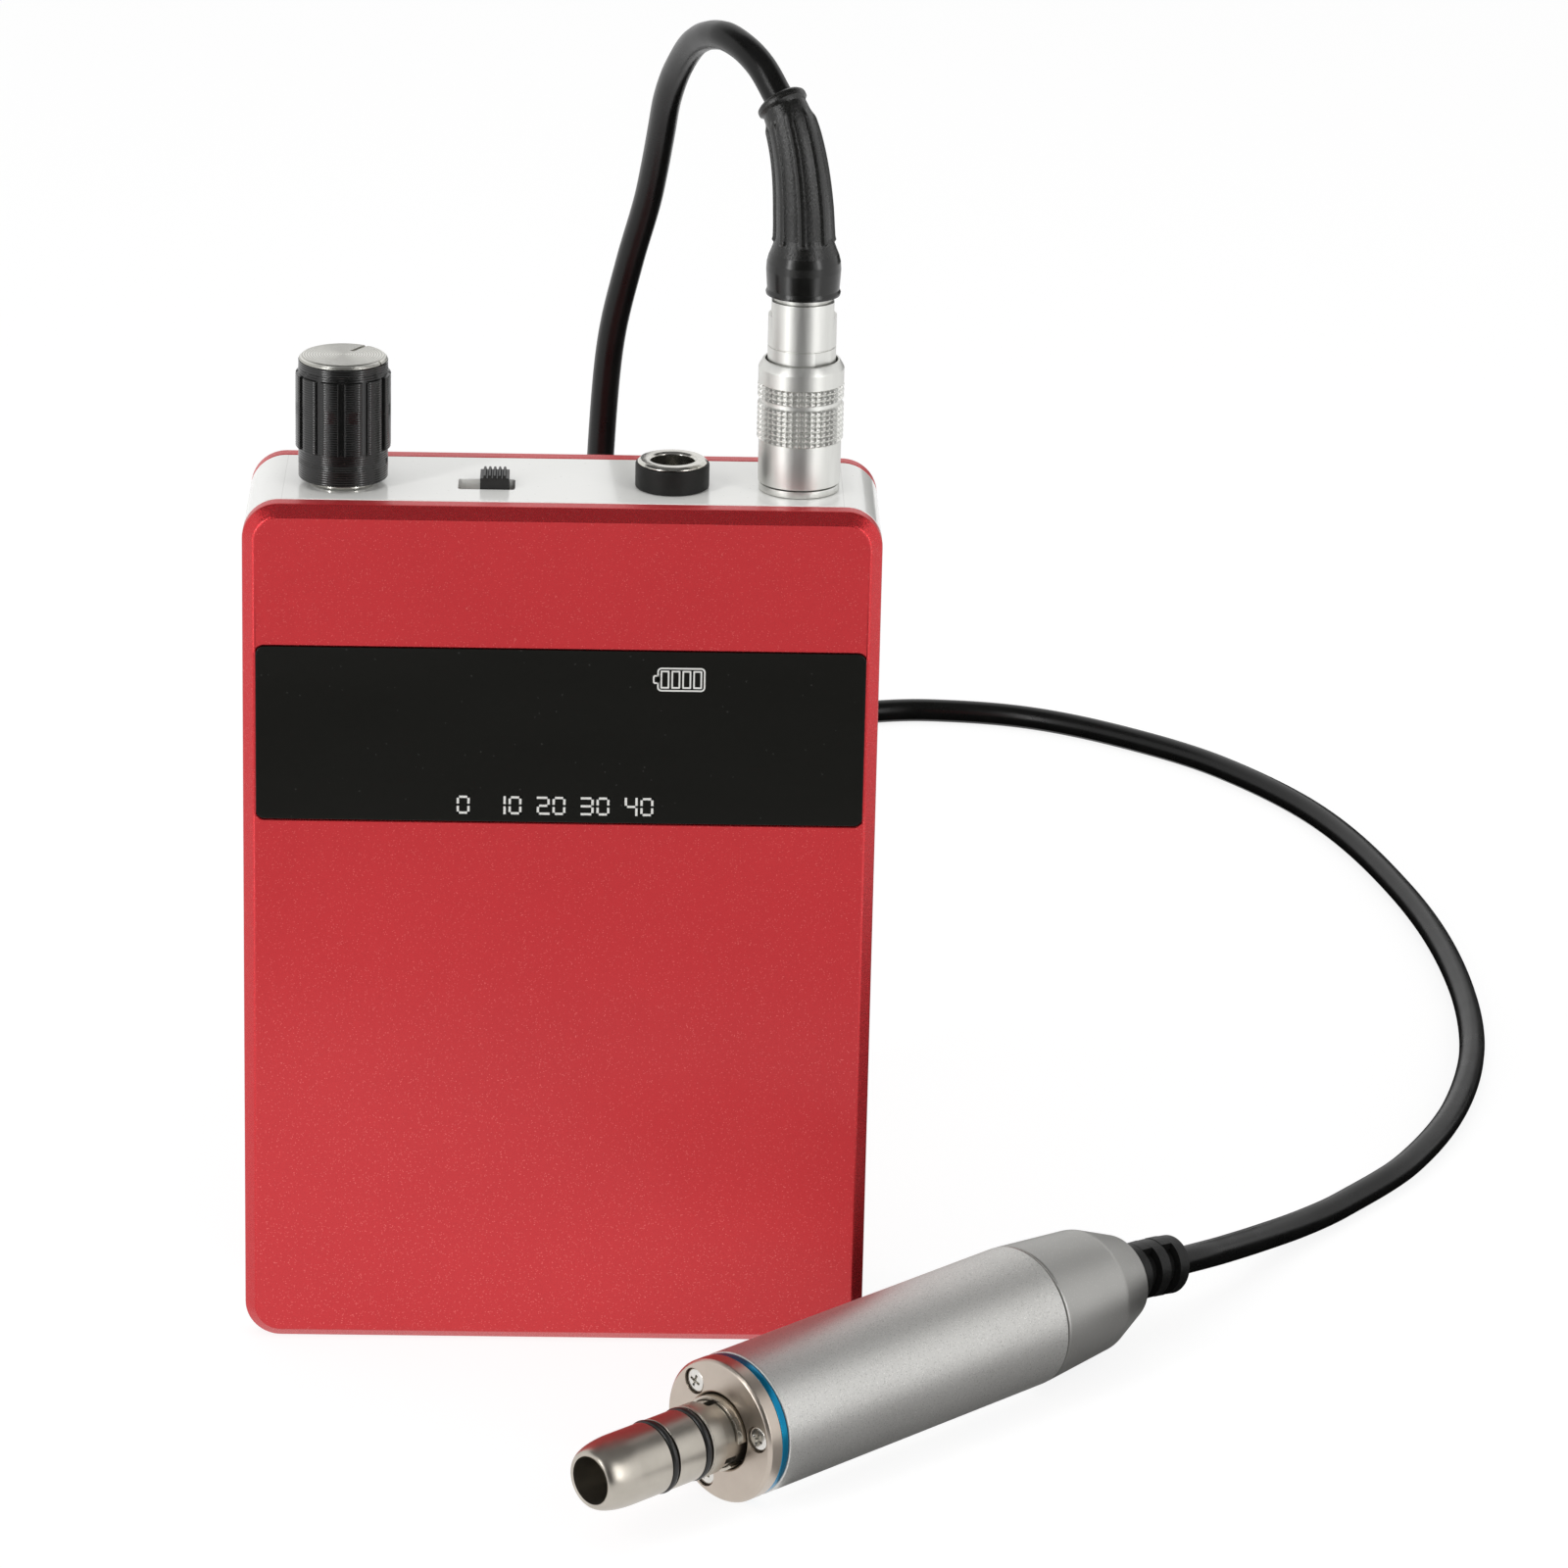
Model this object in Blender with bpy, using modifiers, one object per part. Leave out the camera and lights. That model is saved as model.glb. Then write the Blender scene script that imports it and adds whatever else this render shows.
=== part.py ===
"""Dental lab micromotor: a cordless control box, a motor handpiece and the cord between them.

Metres, +Z up. The origin is the middle of the box's bottom face and the box's front faces -Y.
The handpiece lies on the surface that the box stands on.
"""

import math

import bmesh
import bpy
import numpy as np
from mathutils import Matrix, Vector

# Fits and cuts shared by all the pieces
SEAT_GAP = 0.0001
FIT_GAP = 0.0003
CUT_OVERRUN = 0.001
MERGE_DISTANCE = 0.000001
FACING_ANGLE = math.radians(25)
TURN_STEPS = 26
BARREL_STEPS = 36
SMALL_TURN_STEPS = 12
HIDDEN_STEPS = 16

# Control box: two metal covers on a plastic middle frame, sized round four battery cells
CELL_COUNT = 4
CELL_DIAMETER = 0.0185
CELL_LENGTH = 0.065
CELL_CAP_RADIUS = 0.0028
CELL_CAP_HEIGHT = 0.0012
CELL_SIDE_SPACE = 0.0036
CASE_HEIGHT = 0.122
CORNER_RADIUS = 0.005
CORNER_STEPS = 4
FRAME_DEPTH = 0.0206
FRAME_WALL = 0.0022
COVER_DEPTH = 0.0037
COVER_WALL = 0.0015
COVER_CHAMFER = 0.00155
SEAM_GAP = 0.0002
POST_RADIUS = 0.0036
POST_BITE = 0.0004
BOSS_RADIUS = 0.003
SCREW_HEAD_RADIUS = 0.00235
SCREW_HEAD_HEIGHT = 0.00125
SCREW_SHANK_RADIUS = 0.0011
SCREW_SUNK = 0.00005
CASE_WIDTH = (
    CELL_COUNT * CELL_DIAMETER + (CELL_COUNT - 1) * FIT_GAP + 2 * (CELL_SIDE_SPACE + FRAME_WALL)
)
CASE_DEPTH = FRAME_DEPTH + 2 * (SEAM_GAP + COVER_DEPTH)
PLATE_INSIDE = CASE_DEPTH / 2 - COVER_WALL

# Line of controls along the top band
COMPONENT_Y = -0.002
UNDER_WALL = FRAME_WALL + FIT_GAP
PANEL_NUT_HEIGHT = 0.0022

# Display behind its window in the front cover
WINDOW_DROP = 0.0196
WINDOW_HEIGHT = 0.0251
WINDOW_MARGIN = 0.0001
WINDOW_CORNER = 0.0012
WINDOW_RECESS = 0.0008
WINDOW_THICKNESS = 0.0006
WINDOW_LEDGE_WIDE = 0.006
WINDOW_LEDGE_HIGH = 0.004
MODULE_LAP = 0.0022
MODULE_DEPTH = 0.0026

# Main board, on stands from the rear cover above the cells
BOARD_MARGIN = 0.002
BOARD_THICKNESS = 0.0016
BOARD_STAND_INSET = 0.004
BOARD_STAND_RADIUS = 0.0022

# Speed knob on its potentiometer
KNOB_X = -0.030
KNOB_LIFT = 0.00094
KNOB_HEIGHT = 0.017
KNOB_RADIUS = 0.0065
KNOB_NECK_STEP = 0.0004
KNOB_LOW_NECK = 0.0043
KNOB_TOP_NECK = 0.0024
KNOB_BEVEL = 0.0004
KNOB_WALL = 0.0013
KNOB_TOP_THICKNESS = 0.0021
KNOB_GROOVES = 12
KNOB_GROOVE_WIDTH = 0.0009
KNOB_GROOVE_DEPTH = 0.00045
KNOB_MARK_WIDTH = 0.0009
KNOB_MARK_DEPTH = 0.0003
KNOB_MARK_TURN = math.radians(58)
KNOB_MARK_START_SHARE = 0.35
INSERT_CAP = 0.0012
SHAFT_RADIUS = 0.003
SHAFT_BEVEL = 0.0003
JOURNAL_RADIUS = 0.0025
JOURNAL_DEPTH = 0.004
BUSHING_WALL = 0.0007
POT_WIDTH = 0.012
POT_DEPTH = 0.010
POT_HEIGHT = 0.007
WASHER_RADIUS = 0.0044
WASHER_HEIGHT = 0.0004
POT_NUT_FLATS = 0.008
POT_NUT_HEIGHT = 0.002

# Slide switch
SLOT_X = -0.010475
SLOT_FORWARD = 0.00035
SLOT_LENGTH = 0.00775
SLOT_WIDTH = 0.0049
LEVER_SIDE_GAP = 0.00015
LEVER_LENGTH = 0.00395
LEVER_RISE = 0.0019
LEVER_SUNK = 0.0012
LEVER_TRAVEL = 0.0022
LEVER_GROOVES = 4
LEVER_PITCH = 0.00067
LEVER_GROOVE_WIDTH = 0.00026
LEVER_GROOVE_DEPTH = 0.0004
STEM_LENGTH = 0.0024
STEM_WIDTH = 0.002
STEM_DEPTH = 0.0023
SWITCH_END_WALL = 0.002
SWITCH_FRONT_WALL = 0.0012
SWITCH_HEIGHT = 0.006

# Charging socket
JACK_X = 0.01475
JACK_FLANGE_RADIUS = 0.00505
JACK_FLANGE_HEIGHT = 0.0034
JACK_NECK_RADIUS = 0.0044
JACK_DEPTH = 0.011
JACK_FLOOR = 0.0027
JACK_BEVEL = 0.0002
JACK_NUT_FLATS = 0.0105
RIM_RADIUS = 0.00475
RIM_HEIGHT = 0.0005
RIM_BEVEL = 0.00035
RIM_LEAD = 0.0003
JACK_BORE_RADIUS = 0.003
JACK_SLEEVE_WALL = 0.0003
PIN_RADIUS = 0.001
PIN_SUNK = 0.0044

# Round connector for the handpiece cord
SOCKET_X = 0.032
SOCKET_RING_RADIUS = 0.00548
SOCKET_RING_HEIGHT = 0.00095
SOCKET_NECK_RADIUS = 0.0046
SOCKET_WALL = 0.0007
SOCKET_DEPTH = 0.0114
SOCKET_NUT_FLATS = 0.0115
CONTACT_GAP = 0.0006
CONTACT_RECESS = 0.0005
PLUG_DEPTH = 0.0058
PLUG_WALL = 0.0007
PLUG_CORE_RISE = 0.006
PLUG_BODY_START = 0.016
PLUG_BODY_END = 0.02677
PLUG_BODY_RADIUS = 0.00464
PLUG_NECK_RADIUS = 0.00399
PLUG_NECK_LENGTH = 0.0037
SLEEVE_START = 0.00127
SLEEVE_PLAIN_RADIUS = 0.00562
SLEEVE_KNURL_RADIUS = 0.00587
SLEEVE_GROOVE_RADIUS = 0.0055
SLEEVE_TOP_RADIUS = 0.00583
SLEEVE_LIP_RADIUS = 0.0052
SLEEVE_KNURL_START = 0.0072
SLEEVE_GROOVE_START = 0.01249
SLEEVE_GROOVE_END = 0.01306
SLEEVE_KNURL_END = 0.01519
SLEEVE_SHOULDER = 0.01731
SLEEVE_END = 0.01844
SLEEVE_FLOOR = 0.010
SPRING_WIRE_RADIUS = 0.0003
SPRING_TURNS = 4
SPRING_POINTS = 8

# Bend protector on the plug, a ribbed rubber boot that leans back with the cord
BOOT_START = 0.0275
BOOT_LEAN = (-0.0037, 0.0038, 0.0259)
BOOT_FIRST_PULL = 0.0085
BOOT_LAST_PULL = 0.008
BOOT_POCKET_DEPTH = 0.0034
BOOT_RIDGES = 8
BOOT_RIDGE_HEIGHT = 0.00016
BOOT_SIDES = 32
BOOT_SHOULDER_RADIUS = 0.00508
BOOT_OUTLINE_SHARES = (
    (0, 0.945), (0.04, 0.976), (0.13, 1), (0.17, 0.984), (0.23, 0.886), (0.29, 0.768),
    (0.42, 0.744), (0.54, 0.713), (0.66, 0.683), (0.77, 0.659), (0.88, 0.63), (0.925, 0.61),
    (0.95, 0.689), (0.985, 0.689), (1, 0.59),
)
BOOT_RIDGE_SHARES = (0.27, 0.91)

# Cord from the plug's boot, over the back of the box and along the floor to the handpiece
CORD_RADIUS = 0.002
CORD_POINT_SPACING = 0.0115
CORD_ROUTE = (
    (0.0283, 0.0018, 0.1754), (0.0259, 0.0047, 0.1790), (0.0234, 0.0082, 0.1809),
    (0.0206, 0.0131, 0.1813), (0.0174, 0.0222, 0.1784), (0.0151, 0.0308, 0.1728),
    (0.0136, 0.0371, 0.1668), (0.0128, 0.0422, 0.1605), (0.0120, 0.0463, 0.1544),
    (0.0110, 0.0498, 0.1483), (0.0087, 0.0547, 0.1384), (0.0063, 0.0597, 0.1262),
    (0.0052, 0.0642, 0.1131), (0.0044, 0.0711, 0.0917), (0.0040, 0.0820, 0.0637),
    (0.0039, 0.0967, 0.0394), (0.0037, 0.1142, 0.0217), (0.0037, 0.1328, 0.0104),
    (0.0040, 0.1525, 0.0041), (0.0050, 0.1746, 0.0020), (0.0101, 0.2067, 0.0020),
    (0.0228, 0.2347, 0.0020), (0.0386, 0.2502, 0.0020), (0.0523, 0.2564, 0.0020),
    (0.0640, 0.2581, 0.0020), (0.0812, 0.2547, 0.0020), (0.0977, 0.2446, 0.0020),
    (0.1134, 0.2294, 0.0020), (0.1283, 0.2040, 0.0020), (0.1383, 0.1692, 0.0020),
    (0.1429, 0.1357, 0.0020), (0.1426, 0.1015, 0.0020), (0.1370, 0.0736, 0.0020),
    (0.1272, 0.0503, 0.0020), (0.1153, 0.0334, 0.0021), (0.1089, 0.0253, 0.0027),
    (0.1023, 0.0164, 0.0042), (0.0959, 0.0067, 0.0064), (0.0919, 0.0007, 0.0079),
    (0.0870, -0.0048, 0.0090),
)

# Handpiece, along its own axis: heights run from the front face back towards the cord
HANDPIECE_FRONT = (0.0224, -0.065, 0.010)
HANDPIECE_TURN = math.radians(43)
BARREL_RADIUS = 0.00997
BARREL_WALL = 0.00112
BARREL_END = 0.0572
BARREL_EDGE = 0.0003
FLANGE_THICKNESS = 0.0023
FLANGE_CHAMFER = 0.0004
FLANGE_LIP = 0.0003
SPIGOT_LENGTH = 0.0024
RING_GAP = 0.00012
RING_WIDTH = 0.00111
RING_SUNK = 0.00012
RING_INNER_GAP = 0.00025
LAND_LENGTH = 0.003
CLAMP_SCREWS = 3
CLAMP_SCREW_FIRST = math.radians(50)
CLAMP_CIRCLE_SHARE = 0.6393
CLAMP_SHANK_SHARE = 0.2295
CLAMP_HEAD_SHARE = 0.5246
CLAMP_HOLE_GAP = 0.00015
CLAMP_HEAD_HEIGHT = 0.0009
CLAMP_HEAD_BEVEL = 0.0004
CLAMP_SINK = 0.0011
CLAMP_SHANK_LENGTH = 0.0065

# Coupling nose
NOSE_BORE_RADIUS = 0.0033
NOSE_RADIUS = 0.00492
NOSE_COLLAR_RADIUS = 0.005
NOSE_RECESS_RADIUS = 0.00445
NOSE_BASE_RADIUS = 0.0052
NOSE_TIP = -0.0232
NOSE_TIP_RADIUS = 0.00375
NOSE_LEAD_END = -0.0220
NOSE_LEAD_RADIUS = 0.00445
NOSE_TAPER_END = -0.0194
NOSE_COLLAR_START = -0.0052
NOSE_RECESS_START = -0.003
NOSE_BASE_START = 0.003
FRONT_RING_PLACE = -0.0121
REAR_RING_PLACE = -0.0061
RING_GROOVE_HALF = 0.0007
O_RING_WIRE = 0.0005
O_RING_PROUD = 0.00015
O_RING_SIDES = 6
WINDOW_SLOTS = 3
WINDOW_SLOT_WIDTH = 0.0012
WINDOW_SLOT_START = -0.0026
WINDOW_SLOT_END = -0.0006
CLIP_WALL = 0.00045
CLIP_START = -0.0012
CLIP_END = 0.0009
CLIP_MOUTH = 0.004
CLIP_MOUTH_TURN = math.radians(110)

# Motor inside the barrel
BEARING_WIDTH = 0.003
FRONT_BEARING_START = 0.009
BEARING_SEAT_WALL = 0.0009
STATOR_START = 0.014
STATOR_END = 0.042
STATOR_BORE_RADIUS = 0.004
MAGNET_INSET = 0.001
AXLE_RADIUS = 0.0015
AXLE_COLLAR_RADIUS = 0.0026
AXLE_COLLAR_HALF = 0.0005
END_CAP_WEB = 0.0009
REAR_BEARING_RADIUS = 0.0045
SENSOR_GAP = 0.0005
SENSOR_THICKNESS = 0.0016
SENSOR_HOLE_RADIUS = 0.0025
DOG_REAR = -0.005
DOG_FRONT = -0.0116
DOG_WALL = 0.0011
DOG_WEB = 0.0008
DOG_TOOTH_LENGTH = 0.0024
DOG_TOOTH_WIDTH = 0.0012
DOG_TOOTH_INSET = 0.0004
DOG_TOOTH_DEPTH = 0.0013
DOG_TRAVEL = 0.0015
DOG_SPRING_WIRE = 0.00025

# Tail and cord outlet
TAIL_STEP = 0.00002
TAIL_SEAM = 0.0002
TAIL_EDGE = 0.0133
TAIL_EDGE_SHARE = 0.71
TAIL_LENGTH = 0.0202
TAIL_END_WALL = 0.0017
TAIL_SPIGOT_LENGTH = 0.0054
TAIL_WALL = 0.00115
TAIL_CORE_START = 0.0085
TAIL_CORE_TAPER = 0.003
OUTLET_RADIUS = 0.00415
OUTLET_CORE_RADIUS = 0.0029
OUTLET_SUNK = 0.0044
OUTLET_BEND_SUNK = 0.0004
OUTLET_COLLAR_LENGTH = 0.0031
OUTLET_SLOTS = 2
OUTLET_SLOT_LENGTH = 0.00195
OUTLET_BAND_LENGTH = 0.0018
OUTLET_RIB_HALF_ANGLE = math.radians(24)
OUTLET_DROOP = 0.001
OUTLET_SIDES = 24


def collection(name):
    made = bpy.data.collections.new(name)
    bpy.context.scene.collection.children.link(made)
    return made


def finish(name, colour, roughness, metallic=0.0):
    material = bpy.data.materials.new(name)
    material.use_nodes = True
    shader = material.node_tree.nodes["Principled BSDF"]
    shader.inputs["Base Color"].default_value = (*colour, 1)
    shader.inputs["Roughness"].default_value = roughness
    shader.inputs["Metallic"].default_value = metallic
    return material


def place(name, data, material, location=(0, 0, 0), parent=None):
    """A finished piece in the object's own collection."""
    obj = bpy.data.objects.new(name, data)
    obj.location = location
    obj.parent = parent
    data.materials.append(material)
    PIECES.objects.link(obj)
    return obj


def helper(name, mesh, location=(0, 0, 0), parent=None):
    """A cutter or an addition that shows only through a Boolean."""
    obj = bpy.data.objects.new(name, mesh)
    obj.location = location
    obj.parent = parent
    obj.hide_render = True
    obj.display_type = "WIRE"
    CUTTERS.objects.link(obj)
    return obj


def combine(obj, operation, other):
    modifier = obj.modifiers.new(other.name, "BOOLEAN")
    modifier.operation = operation
    modifier.solver = "EXACT"
    modifier.object = other


def cut(obj, name, mesh):
    combine(obj, "DIFFERENCE", helper(name, mesh, obj.location, obj.parent))


def join(obj, name, mesh):
    combine(obj, "UNION", helper(name, mesh, obj.location, obj.parent))


def mesh_of(bm, name):
    mesh = bpy.data.meshes.new(name)
    bm.to_mesh(mesh)
    bm.free()
    return mesh


def smooth(mesh):
    mesh.shade_smooth()
    mesh.set_sharp_from_angle(angle=math.radians(35))


def block_mesh(name, spans):
    """Square blocks, each between a low and a high corner."""
    bm = bmesh.new()
    for low, high in spans:
        low, high = Vector(low), Vector(high)
        size = Matrix.Diagonal((*(high - low), 1))
        bmesh.ops.create_cube(bm, size=1, matrix=Matrix.Translation((low + high) / 2) @ size)
    return mesh_of(bm, name)


def rod_mesh(name, radius, spans, steps=SMALL_TURN_STEPS):
    """Round rods, each between two points."""
    bm = bmesh.new()
    for start, end in spans:
        start, end = Vector(start), Vector(end)
        turn = (end - start).to_track_quat("Z", "Y").to_matrix().to_4x4()
        bmesh.ops.create_cone(
            bm, cap_ends=True, segments=steps, radius1=radius, radius2=radius,
            depth=(end - start).length, matrix=Matrix.Translation((start + end) / 2) @ turn,
        )
    return mesh_of(bm, name)


def turned(name, profile, material, location=(0, 0, 0), parent=None, ring=False, steps=TURN_STEPS):
    """A lathe-turned piece round its own Z axis, from (radius, height) points down its outside."""
    bm = bmesh.new()
    points = [bm.verts.new((radius, 0, height)) for radius, height in profile]
    for first, second in zip(points, points[1:]):
        bm.edges.new((first, second))
    if ring:
        bm.edges.new((points[-1], points[0]))
    obj = place(name, mesh_of(bm, name), material, location, parent)
    screw = obj.modifiers.new("Turning", "SCREW")
    screw.steps = screw.render_steps = steps
    screw.use_merge_vertices = True
    screw.merge_threshold = MERGE_DISTANCE
    screw.use_smooth_shade = True
    return obj


def hex_nut(name, flats, hole_radius, height, top, material, location):
    """A six-sided nut whose upper face is at height top."""
    bm = bmesh.new()
    corner = flats / math.sqrt(3)
    middle = Matrix.Translation((0, 0, top - height / 2))
    bmesh.ops.create_cone(
        bm, cap_ends=True, segments=6, radius1=corner, radius2=corner, depth=height, matrix=middle
    )
    nut = place(name, mesh_of(bm, name), material, location)
    span = ((0, 0, top - height - CUT_OVERRUN), (0, 0, top + CUT_OVERRUN))
    cut(nut, name + "_hole", rod_mesh(name + "_hole", hole_radius, [span], TURN_STEPS))
    return nut


def coil(name, radius, wire_radius, low, high, turns, material, location=(0, 0, 0), parent=None):
    """A spring wound round its own Z axis between two heights, ends included."""
    curve = bpy.data.curves.new(name, "CURVE")
    curve.dimensions = "3D"
    curve.bevel_depth = wire_radius
    curve.bevel_resolution = 1
    curve.use_fill_caps = True
    count = turns * SPRING_POINTS + 1
    line = curve.splines.new("POLY")
    line.points.add(count - 1)
    for index, point in enumerate(line.points):
        angle = 2 * math.pi * index / SPRING_POINTS
        height = low + wire_radius + (high - low - 2 * wire_radius) * index / (count - 1)
        point.co = (radius * math.cos(angle), radius * math.sin(angle), height, 1)
    return place(name, curve, material, location, parent)


def loft(name, rings, material, location=(0, 0, 0), parent=None):
    """A closed skin over rings of points that differ in shape and tilt."""
    bm = bmesh.new()
    rows = [[bm.verts.new(point) for point in ring] for ring in rings]
    for lower, upper in zip(rows, rows[1:]):
        for side in range(len(lower)):
            after = (side + 1) % len(lower)
            bm.faces.new((lower[side], lower[after], upper[after], upper[side]))
    bm.faces.new(reversed(rows[0]))
    bm.faces.new(rows[-1])
    bmesh.ops.remove_doubles(bm, verts=bm.verts, dist=MERGE_DISTANCE)
    bmesh.ops.recalc_face_normals(bm, faces=bm.faces)
    mesh = mesh_of(bm, name)
    smooth(mesh)
    return place(name, mesh, material, location, parent)


def rounded_box(name, width, height, depth, middle_y):
    """A block across the case with rounded upright corners, open edges left for the caller."""
    bm = bmesh.new()
    place_it = Matrix.Translation((0, middle_y, CASE_HEIGHT / 2))
    bmesh.ops.create_cube(bm, size=1, matrix=place_it @ Matrix.Diagonal((width, depth, height, 1)))
    along = [e for e in bm.edges if abs(e.verts[0].co.y - e.verts[1].co.y) > depth / 2]
    bmesh.ops.bevel(
        bm, geom=along, offset=CORNER_RADIUS, segments=CORNER_STEPS, profile=0.5, affect="EDGES"
    )
    return bm


def faces_towards(bm, side):
    return [face for face in bm.faces if face.normal.y * side > math.cos(FACING_ANGLE)]


def shell(obj, wall):
    solidify = obj.modifiers.new("Wall", "SOLIDIFY")
    solidify.thickness = wall
    solidify.offset = -1
    solidify.use_even_offset = True


def screw_places():
    """Where the four case screws run, as (x, z)."""
    x = CASE_WIDTH / 2 - FRAME_WALL - POST_RADIUS + POST_BITE
    low = FRAME_WALL + POST_RADIUS - POST_BITE
    high = CASE_HEIGHT - SOCKET_DEPTH - FIT_GAP - POST_RADIUS
    return [(-x, low), (x, low), (-x, high), (x, high)]


def across(places, front, rear):
    """Rod spans from front to rear through the given (x, z) places."""
    return [((x, front, z), (x, rear, z)) for x, z in places]


def board_span():
    """The main board's corners: beside the posts, above the cells and under the panel nuts."""
    x = screw_places()[1][0] - POST_RADIUS - FIT_GAP
    front = COMPONENT_Y + POT_DEPTH / 2 + FIT_GAP
    low = cell_floor() + CELL_LENGTH + CELL_CAP_HEIGHT + BOARD_MARGIN
    high = CASE_HEIGHT - FRAME_WALL - SEAT_GAP - PANEL_NUT_HEIGHT - FIT_GAP
    return (-x, front, low), (x, front + BOARD_THICKNESS, high)


def cell_floor():
    return FRAME_WALL + 2 * POST_RADIUS - POST_BITE + FIT_GAP


def window_recess():
    """The window recess in the front cover, as half its width and its low and high edges."""
    half = CASE_WIDTH / 2 - COVER_CHAMFER - WINDOW_MARGIN
    high = CASE_HEIGHT - WINDOW_DROP
    return half, high - WINDOW_HEIGHT, high


def window_opening():
    half, low, high = window_recess()
    return half - WINDOW_LEDGE_WIDE, low + WINDOW_LEDGE_HIGH, high - WINDOW_LEDGE_HIGH


def cover(name, side, material):
    """One metal cover: a shallow pressed tray with a chamfered face and four screw bosses."""
    outer = side * CASE_DEPTH / 2
    seam = side * (CASE_DEPTH / 2 - COVER_DEPTH)
    bm = rounded_box(name, CASE_WIDTH, CASE_HEIGHT, COVER_DEPTH, (outer + seam) / 2)
    bm.normal_update()
    rim = {edge for face in faces_towards(bm, side) for edge in face.edges}
    bmesh.ops.bevel(bm, geom=list(rim), offset=COVER_CHAMFER, segments=1, affect="EDGES")
    bm.normal_update()
    bmesh.ops.delete(bm, geom=faces_towards(bm, -side), context="FACES_ONLY")
    tray = place(name, mesh_of(bm, name), material)
    shell(tray, COVER_WALL)
    inner = side * (PLATE_INSIDE + COVER_WALL / 2)
    bosses = across(screw_places(), inner, seam)
    join(tray, name + "_bosses", rod_mesh(name + "_bosses", BOSS_RADIUS, bosses))
    return tray


def front_cover():
    material = finish("red_anodised_front", (0.55, 0.05, 0.055), 0.35, 0.6)
    tray = cover("front_cover", -1, material)
    half, low, high = window_recess()
    face = -CASE_DEPTH / 2
    bm = bmesh.new()
    size = Matrix.Diagonal((2 * half, 2 * WINDOW_RECESS, high - low, 1))
    bmesh.ops.create_cube(bm, size=1, matrix=Matrix.Translation((0, face, (low + high) / 2)) @ size)
    round_window(bm)
    cut(tray, "window_recess", mesh_of(bm, "window_recess"))
    half, low, high = window_opening()
    span = ((-half, face - CUT_OVERRUN, low), (half, face + COVER_WALL + CUT_OVERRUN, high))
    cut(tray, "window_opening", block_mesh("window_opening", [span]))
    front = -PLATE_INSIDE
    holes = across(screw_places(), front, -CASE_DEPTH / 2 + COVER_DEPTH + CUT_OVERRUN)
    hole_radius = SCREW_SHANK_RADIUS + FIT_GAP
    cut(tray, "front_screw_holes", rod_mesh("front_screw_holes", hole_radius, holes))


def round_window(bm):
    """Rounds the four corners of a window-shaped block."""
    along = [e for e in bm.edges if abs(e.verts[0].co.y - e.verts[1].co.y) > SEAT_GAP]
    bmesh.ops.bevel(bm, geom=along, offset=WINDOW_CORNER, segments=3, profile=0.5, affect="EDGES")


def rear_cover():
    material = finish("red_anodised_rear", (0.55, 0.05, 0.055), 0.35, 0.6)
    tray = cover("rear_cover", 1, material)
    low, high = board_span()
    stand_x = high[0] - BOARD_STAND_INSET
    heights = (low[2] + BOARD_STAND_INSET, high[2] - BOARD_STAND_INSET)
    stands = [(side * stand_x, height) for side in (-1, 1) for height in heights]
    inner = PLATE_INSIDE + COVER_WALL / 2
    spans = across(stands, high[1] + FIT_GAP, inner)
    join(tray, "board_stands", rod_mesh("board_stands", BOARD_STAND_RADIUS, spans))
    face = CASE_DEPTH / 2
    holes = across(screw_places(), face - COVER_DEPTH - CUT_OVERRUN, face + CUT_OVERRUN)
    hole_radius = SCREW_SHANK_RADIUS + FIT_GAP
    cut(tray, "rear_screw_holes", rod_mesh("rear_screw_holes", hole_radius, holes))
    cut(tray, "screw_sinks", screw_sinks(hole_radius))


def screw_sinks(hole_radius):
    """Cones that widen each rear screw hole to its head at the cover's face."""
    bm = bmesh.new()
    wide = SCREW_HEAD_RADIUS + FIT_GAP
    slope = wide - hole_radius + FIT_GAP
    lay = Matrix.Rotation(math.radians(-90), 4, "X")
    for x, z in screw_places():
        bmesh.ops.create_cone(
            bm, cap_ends=True, segments=SMALL_TURN_STEPS, radius1=wide - slope, radius2=wide + slope,
            depth=2 * slope, matrix=Matrix.Translation((x, CASE_DEPTH / 2, z)) @ lay,
        )
    return mesh_of(bm, "screw_sinks")


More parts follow.
